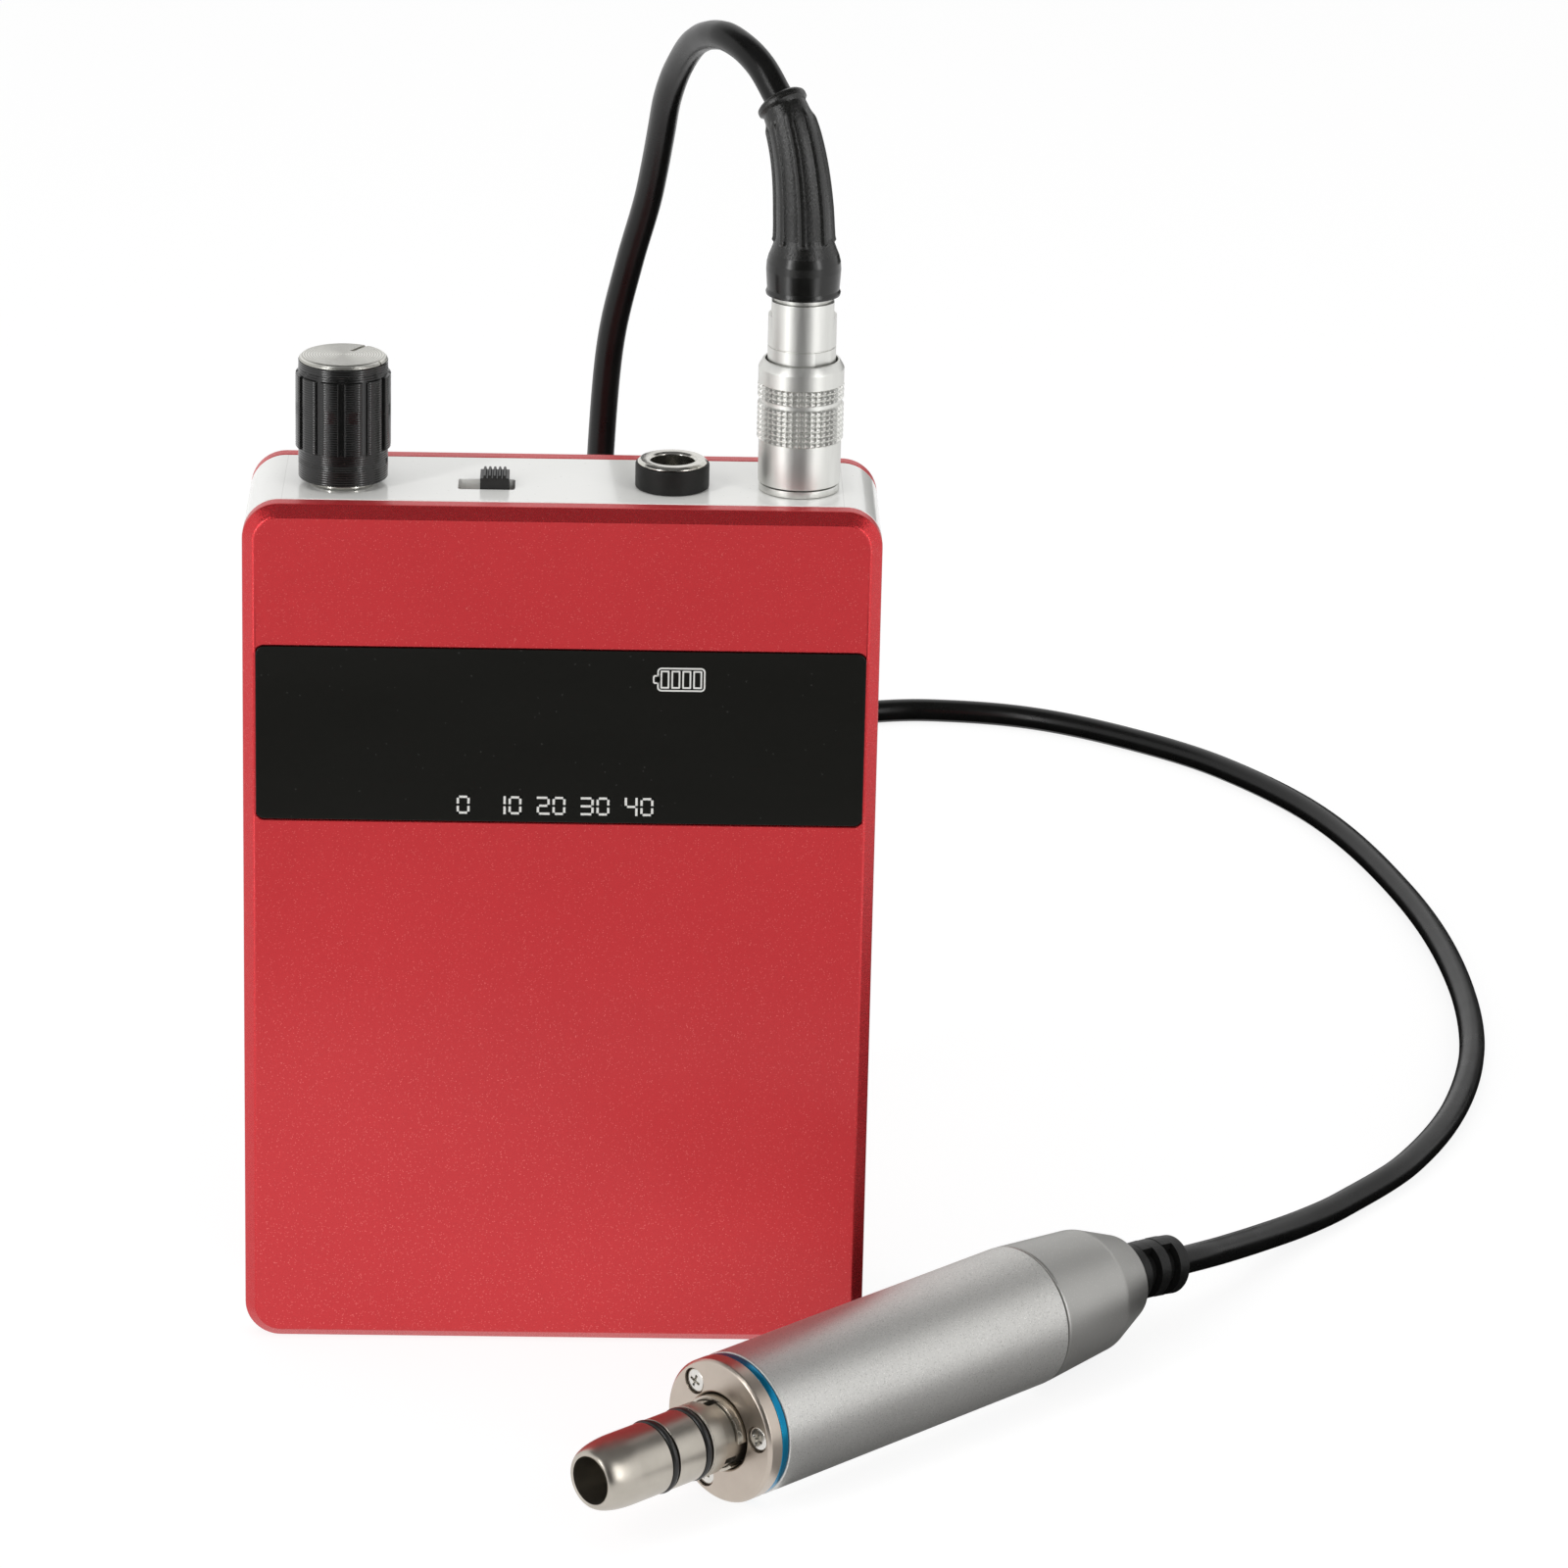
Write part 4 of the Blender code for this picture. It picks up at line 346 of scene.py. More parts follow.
def card_paint(name, kind, tone):
    """A plain shader for the studio's cards."""
    paint = bpy.data.materials.new(name)
    paint.use_nodes = True
    nodes = Nodes(paint.node_tree)
    surface = nodes.add(kind, {}, {"Color": (tone, tone, tone, 1)})
    nodes.add("ShaderNodeOutputMaterial", {}, {"Surface": surface})
    return paint


black_card = card_paint("black_card", "ShaderNodeBsdfDiffuse", 0.02)
dim_card = card_paint("dim_card", "ShaderNodeBsdfDiffuse", 0.12)
grey_card = card_paint("grey_card", "ShaderNodeBsdfDiffuse", 0.37)
bright_card = card_paint("bright_card", "ShaderNodeEmission", 4.0)
soft_card = card_paint("soft_card", "ShaderNodeEmission", 2.6)
upright = spun(90, "X")
cards = (
    ("front_flag", 1.3, 0.9, at(0, -1.1, 0.45) @ upright, black_card),
    ("table_flag", 0.42, 0.76, at(0, -0.52, 0.002), black_card),
    ("overhead_flag", 2.2, 2.0, at(0, -0.3, 1.0), dim_card),
    ("back_flag", 0.7, 0.19, at(0.55, 0.75, 0.095) @ upright, black_card),
    ("cord_flag", 0.16, 0.34, at(0.13, 0.14, 0.0008), black_card),
    # The grey card beside the handpiece's barrel is painted shade: in reflections it stands for the
    # table's shadow there.
    ("handpiece_flag", 0.08, 0.06, at(0.0778, -0.0570, 0.0012) @ spun(43), grey_card),
    ("left_bounce", 0.07, 0.5, spun(-48) @ at(0, -0.45, 0.003), bright_card),
    ("right_bounce", 0.07, 0.5, spun(47) @ at(0, -0.45, 0.003), soft_card),
)
for name, width, height, place, paint in cards:
    made = card(name, width, height, place, paint)
    made.visible_camera = False
    made.visible_diffuse = False
    made.visible_shadow = False
    made.visible_transmission = False


def lamp(name, width, height, watts, place, aim=(0, 0, 0.08)):
    data = bpy.data.lights.new(name, "AREA")
    data.shape = "RECTANGLE"
    data.size = width
    data.size_y = height
    data.energy = watts
    made = bpy.data.objects.new(name, data)
    made.location = place
    made.rotation_euler = (Vector(aim) - Vector(place)).to_track_quat("-Z", "Y").to_euler()
    stage.collection.objects.link(made)


lamp("left_strip", 0.14, 1.0, 4.5, (-0.80, -0.75, 0.55))
lamp("right_strip", 0.14, 1.0, 3.0, (0.82, -0.72, 0.55))
lamp("top_soft", 0.9, 0.9, 2.7, (-0.1, 0.1, 1.3))
lamp("front_soft", 1.0, 0.8, 5.0, (0.1, -1.7, 0.5))


# Front and rear covers. Pressed aluminium trays with a bevelled rim, blasted fine and dyed
# red by anodising. The front one has a recess for the window, the rear one four screw sinks.
# From here on every mesh is drawn in millimetres, and piece() brings it to metres.
corner_steps = 16
hole_steps = 24
merge_reach = 0.001


def box(node):
    """The low and high corners of a CAD piece."""
    return [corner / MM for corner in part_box(node)]


def ring_outline(half, low, high, radius, steps=corner_steps):
    """Points round an upright rectangle with round corners, as (x, z)."""
    corners = (
        (half - radius, high - radius), (radius - half, high - radius),
        (radius - half, low + radius), (half - radius, low + radius),
    )
    points = []
    for turn, (x, z) in enumerate(corners):
        for step in range(steps + 1):
            angle = math.pi / 2 * (turn + step / steps)
            points.append((x + radius * math.cos(angle), z + radius * math.sin(angle)))
    return points


def at_depth(outline, y):
    """An outline's (x, z) points at a depth of y."""
    return [(x, y, z) for x, z in outline]


def circle(radius, steps):
    """Evenly spaced points on a circle."""
    angles = [2 * math.pi * step / steps for step in range(steps)]
    return [(radius * math.cos(angle), radius * math.sin(angle)) for angle in angles]


def soften(profile, radius, steps=3, closed=False):
    """The profile with each corner rounded by a short curve, as long as its sides allow."""
    spots = [Vector(point) for point in profile]
    count = len(spots)
    points = []
    for index, spot in enumerate(spots):
        if not closed and index in (0, count - 1):
            points.append(spot)
            continue
        before, after = spots[index - 1], spots[(index + 1) % count]
        reach = min(radius, (before - spot).length * 0.45, (after - spot).length * 0.45)
        first = spot + (before - spot).normalized() * reach
        last = spot + (after - spot).normalized() * reach
        for step in range(steps + 1):
            share = step / steps
            middle = first.lerp(spot, share)
            points.append(middle.lerp(spot.lerp(last, share), share))
    return points


def loft(bm, loops, closed=False, capped=False):
    """Faces between loops of equal length; closed joins last to first, capped fills both."""
    rows = [[bm.verts.new(point) for point in loop] for loop in loops]
    pairs = list(zip(rows, rows[1:]))
    if closed:
        pairs.append((rows[-1], rows[0]))
    for near, far in pairs:
        for index in range(len(near)):
            after = (index + 1) % len(near)
            bm.faces.new((near[index], near[after], far[after], far[index]))
    if capped:
        bm.faces.new(rows[0])
        bm.faces.new(rows[-1])
    return rows


def fill_between(bm, *rows):
    """A flat face with holes, inside the first row of points and outside the others."""
    edges = []
    for row in rows:
        for first, second in zip(row, row[1:] + row[:1]):
            edges.append(bm.edges.get((first, second)) or bm.edges.new((first, second)))
    bmesh.ops.triangle_fill(bm, edges=edges, use_beauty=True, use_dissolve=False)


def turned(bm, profile, place, steps=96, closed=False):
    """A turned form round the place's own Z axis, from (radius, height) pairs."""
    loops = []
    for radius, height in profile:
        loops.append([place @ Vector((x, y, height)) for x, y in circle(radius, steps)])
    return loft(bm, loops, closed)


def shaded(data, sharp=30):
    """The mesh shaded smooth, but for its edges past the angle."""
    data.shade_smooth()
    data.set_sharp_from_angle(angle=math.radians(sharp))
    return data


def finished(bm, name, sharp=30):
    """The mesh with its doubles merged, its faces outward and its shading set."""
    bmesh.ops.remove_doubles(bm, verts=bm.verts, dist=merge_reach)
    bmesh.ops.recalc_face_normals(bm, faces=bm.faces)
    return shaded(to_mesh(bm, name), sharp)


def piece(name, data, finish, slot, body, *nodes):
    """A finished piece, brought to metres, which rides on a body and stands for CAD nodes."""
    data.transform(Matrix.Scale(MM, 4))
    data.materials.clear()
    made = add_mesh(name, data, finish.material)
    made.modifiers.new("even_shading", "WEIGHTED_NORMAL").keep_sharp = True
    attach(made, body)
    if nodes:
        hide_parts(*nodes)
    return made


cover_low, cover_high = box("front_cover")
window_low, window_high = box("display_window")
case_half, case_top, case_front = cover_high.x, cover_high.z, cover_low.y
rear_face = box("rear_cover")[1].y
case_corner, edge_round, seam_round = 5.0, 0.28, 0.12
cover_depth, cover_wall, cover_bevel, inner_bevel = 3.7, 1.5, 1.55, 0.93
window_gap, window_corner, recess_lip, recess_depth = 0.2, 1.2, 0.12, 0.8
opening_half, opening_low, opening_high, opening_corner = 35.6, 81.3, 98.4, 1.0
screw_spots = [(x, z) for x in (-37.85, 37.85) for z in (5.4, 106.7)]
boss_radius, post_hole, sink_radius, sink_depth = 3.0, 1.4, 2.65, 1.25
stand_spots = [(x, z) for x in (-29.95, 29.95) for z in (81.5, 113.2)]
stand_radius, stand_end = 2.2, 5.2

red = Finish(
    "red_anodised_aluminium", specular_ior_level=0.4, coat_weight=0.28, coat_roughness=0.2,
)
broad = red.noise(30, 2)
grit = red.noise(6500, 4, rough=0.75)
painted_glint = red.specks(9500, 0.03)
case_middle, half_depth = (rear_face + case_front) / 2 * MM, (rear_face - case_front) / 2 * MM
from_face = half_depth - (red.along("Y") - case_middle).math("ABSOLUTE")
milled = (from_face > 0.03 * MM) * (from_face < cover_bevel * MM)
tone = red.mix(broad, colour(202, 48, 54), colour(213, 55, 60))
tone = red.mix(0.4 * red.ramp(grit, 0.42, 0.7), tone, colour(176, 38, 44))
# Bright pink specks with lower roughness are a painted glint: painted sparkle highlights on the
# blasted face.
tone = red.mix(0.35 * painted_glint, tone, colour(255, 150, 145))
tone = red.mix(0.3 * milled, tone, colour(184, 38, 44))
red.shade(
    base_color=tone, metallic=0.45 + 0.3 * milled,
    roughness=0.42 - 0.16 * painted_glint + 0.1 * grit - 0.2 * milled, normal=red.bump(grit, 0.00003),
)


def case_ring(inset, y):
    """The case's outline, drawn in by the inset, at a depth of y."""
    radius = max(case_corner - inset, 0.3)
    return at_depth(ring_outline(case_half - inset, inset, case_top - inset, radius), y)


def window_ring(grow, y):
    """The window's outline, grown on all sides, at a depth of y."""
    radius = max(window_corner + grow, 0.2)
    half = window_high.x + grow
    return at_depth(ring_outline(half, window_low.z - grow, window_high.z + grow, radius), y)


def hole_ring(spot, radius, y):
    """The edge of a round hole at the spot, at a depth of y."""
    return at_depth([(spot[0] + x, spot[1] + z) for x, z in circle(radius, hole_steps)], y)


def hole_rows(bm, radius, y):
    """The edges of the holes at all four case screws, as rows of points."""
    return [[bm.verts.new(point) for point in hole_ring(spot, radius, y)] for spot in screw_spots]


def crosswise(x, z):
    """A place whose own Z axis runs from the front of the case to its back."""
    return at(x, 0, z) @ spun(-90, "X")


def cover_shell(bm, face, side):
    """The tray's outside and inside from its seam to its face, with both flats left open."""
    seam, floor = face - side * cover_depth, face - side * cover_wall
    rim = [
        (0, seam + side * seam_round), (0, face - side * cover_bevel), (cover_bevel, face),
        (cover_bevel + 1, face),
    ]
    outside = [(seam_round, seam), *soften(rim, edge_round, 4)[:-1]]
    inner = cover_wall + inner_bevel
    inside = [
        (seam_round, seam), (cover_wall, seam), (cover_wall, face - side * inner), (inner, floor),
    ]
    shells = [loft(bm, [case_ring(inset, y) for inset, y in wall]) for wall in (outside, inside)]
    return shells[0][-1], shells[1][-1], seam, floor


bm = bmesh.new()
face_row, floor_row, seam, floor = cover_shell(bm, case_front, -1)
opening = ring_outline(opening_half, opening_low, opening_high, opening_corner)
ledge = case_front + recess_depth
rows = loft(bm, [
    window_ring(window_gap + recess_lip, case_front),
    window_ring(window_gap, case_front + recess_lip),
    window_ring(window_gap, ledge),
    at_depth(opening, ledge),
    at_depth(opening, floor),
])
fill_between(bm, face_row, rows[0])
fill_between(bm, floor_row, rows[-1], *hole_rows(bm, boss_radius, floor))
boss = ((boss_radius, floor), (boss_radius, seam), (post_hole, seam), (post_hole, floor))
for spot in screw_spots:
    loft(bm, [hole_ring(spot, radius, y) for radius, y in boss])
    bm.faces.new([bm.verts.new(point) for point in hole_ring(spot, post_hole, floor)])
piece("front_tray", finished(bm, "front_tray"), red, "red_anodised_metal", "root", "front_cover")

bm = bmesh.new()
face_row, floor_row, seam, floor = cover_shell(bm, rear_face, 1)
fill_between(bm, face_row, *hole_rows(bm, sink_radius, rear_face))
fill_between(bm, floor_row, *hole_rows(bm, boss_radius, floor))
sink = (
    (sink_radius, rear_face), (post_hole, rear_face - sink_depth), (post_hole, seam),
    (boss_radius, seam), (boss_radius, floor),
)
for spot in screw_spots:
    loft(bm, [hole_ring(spot, radius, y) for radius, y in sink])
stand = [(0, stand_end), (stand_radius, stand_end), (stand_radius, floor), (0, floor)]
for spot in stand_spots:
    turned(bm, stand, crosswise(*spot), 24)
piece("rear_tray", finished(bm, "rear_tray"), red, "red_anodised_metal", "root", "rear_cover")


# Middle band. Injection-moulded white plastic with a polished outside, its wall open
# for the controls along the top and thickened into four posts for the case screws.
band_half_depth = box("centre_frame")[1].y
frame_wall, post_radius, post_gap = 2.2, 3.6, 0.2
knob_x, jack_x, plug_x, controls_y = -30.0, 14.75, 32.0, -2.0
knob_hole, jack_hole, plug_hole, hole_reach = 3.8, 4.7, 4.9, 4
slot_left, slot_right, slot_front, slot_rear, slot_round = -14.35, -6.6, -4.8, 0.1, 0.5

gloss = Finish(
    "polished_white_plastic", specular_ior_level=0.55, coat_weight=0.35, coat_roughness=0.06,
)
cloud = gloss.noise(40, 3)
orange_peel = gloss.noise(700, 2)
dust = gloss.specks(5200, 0.003)
tone = gloss.mix(cloud, colour(241, 241, 237), colour(249, 249, 246))
tone = gloss.mix(0.35 * dust, tone, colour(190, 188, 180))
# A thin darker line on each side, where the band's corners begin to curve, is painted shade of that
# bend.
corner_start_shade = (gloss.along("X").math("ABSOLUTE") - 38 * MM).math("ABSOLUTE") < 0.07 * MM
tone = gloss.mix(0.25 * corner_start_shade, tone, colour(176, 174, 168))
gloss.shade(
    base_color=tone, roughness=0.16 + 0.06 * cloud, normal=gloss.bump(orange_peel, 0.000006),
)


def plain(obj):
    """The object's evaluated form as a plain mesh, after which the object goes."""
    bpy.context.view_layer.update()
    seen = obj.evaluated_get(bpy.context.evaluated_depsgraph_get())
    data = bpy.data.meshes.new_from_object(seen)
    bpy.data.objects.remove(obj)
    return data


def drilled(data, cutters, name):
    """The mesh with the cutters' shapes taken out of it."""
    whole = add_mesh(name, data)
    tools = [add_mesh(f"{name}_cutter_{number}", tool) for number, tool in enumerate(cutters)]
    for tool in tools:
        cut = whole.modifiers.new(tool.name, "BOOLEAN")
        cut.operation = "DIFFERENCE"
        cut.object = tool
    made = plain(whole)
    for tool in tools:
        bpy.data.objects.remove(tool)
    return shaded(made)


def rod(radius, low, high, place, name, steps=64):
    """A closed round bar along the place's Z axis."""
    bm = bmesh.new()
    turned(bm, [(0, low), (radius, low), (radius, high), (0, high)], place, steps)
    return finished(bm, name)


def on_top(x):
    """The middle of a control's hole, on the band's top."""
    return at(x, controls_y, case_top)


bm = bmesh.new()
band_inset, band_round = 0.3, 0.25
rims = ((band_inset, -1), (0, -1), (0, 1), (band_inset, 1))
outer = soften([(inset, side * band_half_depth) for inset, side in rims], band_round, 4)
inner = [(frame_wall, band_half_depth), (frame_wall, -band_half_depth)]
loft(bm, [case_ring(inset, y) for inset, y in [*outer, *inner]], closed=True)
cutters = [
    rod(radius, -hole_reach, hole_reach, on_top(x), "control_hole")
    for x, radius in ((knob_x, knob_hole), (jack_x, jack_hole), (plug_x, plug_hole))
]
cutter = bmesh.new()
middle_x, middle_y = (slot_left + slot_right) / 2, (slot_front + slot_rear) / 2
half_x, half_y = (slot_right - slot_left) / 2, (slot_rear - slot_front) / 2
loft(cutter, [
    [
        (middle_x + x, middle_y + y, case_top + drop)
        for x, y in ring_outline(half_x, -half_y, half_y, slot_round, 6)
    ]
    for drop in (-hole_reach, hole_reach)
], capped=True)
cutters.append(finished(cutter, "lever_slot"))
band = drilled(finished(bm, "white_band"), cutters, "white_band")
piece("white_band", band, gloss, "gloss_white_plastic", "root", "centre_frame")

bm = bmesh.new()
reach = band_half_depth - post_gap
post = [(post_hole, -reach), (post_radius, -reach), (post_radius, reach), (post_hole, reach)]
for spot in screw_spots:
    turned(bm, post, crosswise(*spot), 32, closed=True)
piece("screw_posts", finished(bm, "screw_posts"), gloss, "gloss_white_plastic", "root")


# Case screws. Four countersunk steel screws run from the rear tray, through the posts of
# the band, into the front tray's bosses. Their heads have pressed cross recesses.


def cross_recess(radius, depth, arm, place, name):
    """A cross-shaped cutter that tapers inwards, for a screw head in the plane of its place."""
    loops = []
    for height, share in ((0.3, 1.0), (0, 1.0), (-depth, 0.5)):
        loop = []
        for quarter in range(4):
            spin = place @ spun(90 * quarter)
            for x, y in ((radius, -arm), (radius, arm), (arm, arm)):
                loop.append(spin @ Vector((x * share, y * share, height)))
        loops.append(loop)
    bm = bmesh.new()
    loft(bm, loops, capped=True)
    return finished(bm, name)


class Shape(Nodes):
    """A Geometry Nodes tree with named sizes, run once and kept as a plain mesh."""

    kinds = {float: "NodeSocketFloat", int: "NodeSocketInt", bpy.types.Object: "NodeSocketObject"}

    def __init__(self, name, **sizes):
        super().__init__(bpy.data.node_groups.new(name, "GeometryNodeTree"))
        self.sizes = sizes
        self.sockets = {}
        panel = self.tree.interface
        panel.new_socket("Geometry", in_out="INPUT", socket_type="NodeSocketGeometry")
        panel.new_socket("Geometry", in_out="OUTPUT", socket_type="NodeSocketGeometry")
        for key, value in sizes.items():
            kind = self.kinds[type(value)]
            self.sockets[key] = panel.new_socket(key, in_out="INPUT", socket_type=kind)
        self.start = self.add("NodeGroupInput")

    def size(self, key):
        return self.start.part(key)

    def point(self, x, y, z):
        return self.add("ShaderNodeCombineXYZ", {}, {"X": x, "Y": y, "Z": z})

    def scatter(self, points, key, turn):
        """The object among the sizes, repeated at each point."""
        seen = self.add("GeometryNodeObjectInfo", {}, {"Object": self.size(key)}, "Geometry")
        sockets = {"Points": points, "Instance": seen, "Rotation": turn}
        return self.add("GeometryNodeInstanceOnPoints", {}, sockets)

    def mesh(self, geometry, base, finish):
        """The tree's result on the base mesh, with its instances made real and its material set."""
        real = self.add("GeometryNodeRealizeInstances", {}, {"Geometry": geometry})
        sockets = {"Geometry": real, "Material": finish.material}
        dressed = self.add("GeometryNodeSetMaterial", {}, sockets)
        self.add("NodeGroupOutput", {}, {"Geometry": dressed})
        carrier = add_mesh(self.tree.name, base)
        modifier = carrier.modifiers.new("shape", "NODES")
        modifier.node_group = self.tree
        for key, value in self.sizes.items():
            modifier[self.sockets[key].identifier] = value
        return plain(carrier)


def copies_at(name, spots, turn, pattern, finish):
    """One mesh of a pattern repeated at each spot, all turned alike."""
    model = add_mesh(name + "_pattern", pattern)
    shape = Shape(name, Pattern=model)
    base = bpy.data.meshes.new(name + "_spots")
    base.from_pydata(spots, [], [])
    made = shape.mesh(shape.scatter(shape.size("Geometry"), "Pattern", turn), base, finish)
    bpy.data.objects.remove(model)
    return shaded(made)


def numbered(name, count):
    """The names of a CAD piece that is there more than once."""
    return [f"{name}_{number}" for number in range(1, count + 1)]


screw_steel = mottled(
    "zinc_plated_screw_steel", (900, 3), (176, 175, 172), (205, 203, 198), (0.24, 0.16),
    metallic=1.0,
)
centred = Matrix.Identity(4)
head_radius, shank_radius, head_height, screw_length, head_sink = 2.35, 1.1, 1.25, 26.55, 0.05
bm = bmesh.new()
head = soften([(0, 0), (head_radius, 0), (shank_radius, -head_height)], 0.12)
turned(bm, [*head, (shank_radius, -screw_length), (0, -screw_length)], centred, 48)
cross_radius, cross_depth, cross_arm = 1.35, 0.9, 0.28
recess_tool = cross_recess(cross_radius, cross_depth, cross_arm, centred, "case_recess")
case_screw = drilled(finished(bm, "case_screw"), [recess_tool], "case_screw")
spots = at_depth(screw_spots, rear_face - head_sink)
screws = copies_at("case_screws", spots, (-math.pi / 2, 0, 0), case_screw, screw_steel)
piece("case_screws", screws, screw_steel, "case_screw_steel", "root", *numbered("cover_screw", 4))


# Inside the box. Four wrapped cells stand in a row under the main board, and the display's
# module sits behind its opening. They keep their plain solids with their own finishes.


def refinish(finish, *nodes):
    """Gives CAD pieces a finish of their own and leaves their shapes alone."""
    for name in nodes:
        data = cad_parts[name].data
        data.materials.clear()
        data.materials.append(finish.material)


wrap = mottled(
    "printed_cell_wrap", (180, 3, (1, 1, 0.2)), (38, 82, 150), (52, 98, 168), (0.3, 0.2), (0.0001,),
    specular_ior_level=0.45,
)
refinish(wrap, *numbered("battery_cell", 4))

board = Finish("solder_mask_green", specular_ior_level=0.5)
tracks = board.add("ShaderNodeTexBrick", {"offset": 0.5}, {
    "Vector": board.place, "Scale": 300.0, "Color1": colour(22, 84, 48),
    "Color2": colour(30, 98, 58), "Mortar": colour(44, 120, 70), "Mortar Size": 0.03,
})
weave = board.noise(2500, 2)
board.shade(base_color=tracks, roughness=0.35 + 0.2 * weave, normal=board.bump(weave, 0.00003))
refinish(board, "main_board", "sensor_board")

screen = Finish("unlit_display_glass", specular_ior_level=0.4)
tone = screen.mix(screen.specks(1800, 0.4), colour(24, 27, 24), colour(32, 36, 31))
screen.shade(base_color=tone, roughness=0.1 + 0.1 * screen.noise(60, 2))
refinish(screen, "display_module")


# Display window. A smoked acrylic plate with polished edges, glued into the front tray's
# recess. A battery sign and plain numbers are printed on it in silver.
smoked = Finish("smoked_acrylic_plate", specular_ior_level=0.22)
wipe = smoked.noise(25, 3, stretch=(1, 1, 3))
lint = smoked.specks(5200, 0.0012)
tone = smoked.mix(wipe, colour(23, 23, 21), colour(29, 29, 27))
tone = smoked.mix(0.3 * lint, tone, colour(80, 80, 78))
smoked.shade(base_color=tone, roughness=0.12 + 0.08 * wipe)

plate_front, plate_back = window_low.y, window_high.y
edge = soften([(1, plate_front), (0, plate_front), (0, plate_back), (1, plate_back)], 0.12, 4)
bm = bmesh.new()
loft(bm, [window_ring(-inset, y) for inset, y in edge], capped=True)
plate = finished(bm, "window_plate")
piece("window_plate", plate, smoked, "smoked_acrylic", "root", "display_window")

print_thickness = 0.03
print_face, print_root = plate_front - print_thickness, plate_front + print_thickness
digit_height, digit_width, digit_step, stroke = 2.3, 1.45, 2.15, 0.32
number_step, number_x, number_z = 6.0, -1.15, 79.9
numbers = ("0", "10", "20", "30", "40")
lit = {"0": "abcdef", "1": "bc", "2": "abged", "3": "abgcd", "4": "fgbc"}


def segment(letter, left, low):
    """The corners of one stroke of a plain squared digit."""
    middle, top, right = low + digit_height / 2, low + digit_height, left + digit_width
    ends = {
        "a": ((left, top), (right, top)), "g": ((left, middle), (right, middle)),
        "d": ((left, low), (right, low)), "f": ((left, middle), (left, top)),
        "b": ((right, middle), (right, top)), "e": ((left, low), (left, middle)),
        "c": ((right, low), (right, middle)),
    }
    (x1, z1), (x2, z2) = ends[letter]
    half = stroke / 2
    x1, z1, x2, z2 = x1 - half, z1 - half, x2 + half, z2 + half
    return [(x1, z1), (x2, z1), (x2, z2), (x1, z2)]


def printed(bm, name):
    """The printing as a flat-shaded mesh, on the window."""
    bmesh.ops.recalc_face_normals(bm, faces=bm.faces)
    piece(name, to_mesh(bm, name), silver_print, "smoked_acrylic", "root")


silver_print = mottled(
    "silver_printing", (8000, 2), (205, 205, 201), (232, 232, 228), (0.35, 0.2), metallic=0.2,
    specular_ior_level=0.5,
)
bm = bmesh.new()
for place, number in enumerate(numbers):
    middle = number_x + (place - (len(numbers) - 1) / 2) * number_step
    left = middle - (digit_step * (len(number) - 1) + digit_width) / 2
    for index, digit in enumerate(number):
        for letter in lit[digit]:
            bar = segment(letter, left + index * digit_step, number_z - digit_height / 2)
            loft(bm, [at_depth(bar, print_face), at_depth(bar, print_root)], capped=True)
printed(bm, "printed_numbers")

sign_x, sign_z, sign_width, sign_height, sign_line = 16.325, 98.3, 6.55, 3.4, 0.22
pole_width, pole_height = 0.8, 1.25
cell_count, cell_width, cell_height, cell_pitch = 4, 1.2, 2.55, 1.48


def printed_ring(bm, x, width, height, corner):
    """A printed outline with round corners in the sign's row."""
    loops = []
    for inset, y in (
        (0, print_face), (sign_line, print_face), (sign_line, print_root), (0, print_root),
    ):
        half_wide, half_high = width / 2 - inset, height / 2 - inset
        radius = max(corner - inset, 0.05)
        outline = ring_outline(half_wide, -half_high, half_high, radius, 5)
        loops.append([(x + across, y, sign_z + up) for across, up in outline])
    loft(bm, loops, closed=True)


bm = bmesh.new()
printed_ring(bm, sign_x, sign_width, sign_height, 0.6)
pole_x = sign_x - sign_width / 2 - pole_width / 2 + sign_line
printed_ring(bm, pole_x, pole_width, pole_height, 0.3)
for index in range(cell_count):
    cell_x = sign_x + (index - (cell_count - 1) / 2) * cell_pitch
    printed_ring(bm, cell_x, cell_width, cell_height, 0.12)
printed(bm, "battery_sign")


# Speed knob. A turned aluminium shell, anodised black after its fine rings and twelve flutes
# were cut, with its top faced bright. It is pressed over a split shaft of the potentiometer.
knob_spot = at(knob_x, controls_y, box("knob_shell")[0].z)
knob_radius, knob_neck = 6.5, 6.1
low_shoulder, high_shoulder, shell_top, knob_top = 4.3, 14.6, 16.4, 17.0
hollow_radius, hollow_top = 4.9, 14
knob_rings, ring_depth, rows_to_ring, shoulder_round = 0.33, 0.085, 4, 0.04
flutes, flute_width, flute_depth, flute_lip = 12, 0.68, 0.42, 0.16
mark_turn, mark_place, mark_size = 58, 4.7, (5.2, 0.6, 0.6)
notch_turn, notch_place, notch_size = -30, 6.1, (0.9, 0.35, 2.0)

anodised = Finish("black_anodised_knob", specular_ior_level=0.5)
rub = anodised.noise(3800, 3)
tone = anodised.mix(anodised.noise(90, 2), colour(10, 10, 10), colour(17, 17, 16))
tone = anodised.mix(0.3 * anodised.ramp(rub, 0.64, 0.78), tone, colour(96, 94, 88))
anodised.shade(base_color=tone, roughness=0.16 + 0.08 * rub)


def flute_angles():
    """Angles that put close columns at each edge of every flute, for its rounded lips."""
    half = flute_width / 2 / knob_radius
    lips = [half + flute_lip * share / knob_radius for share in (-0.4, 0, 0.33, 0.66, 1)]
    pitch = 2 * math.pi / flutes
    offsets = [-lip for lip in reversed(lips)] + [0.0] + lips
    offsets += [lips[-1] + (pitch - 2 * lips[-1]) * share / 4 for share in range(1, 4)]
    middles = [-math.pi / 2 + pitch * index for index in range(flutes)]
    return sorted((middle + offset) % (2 * math.pi) for middle in middles for offset in offsets)


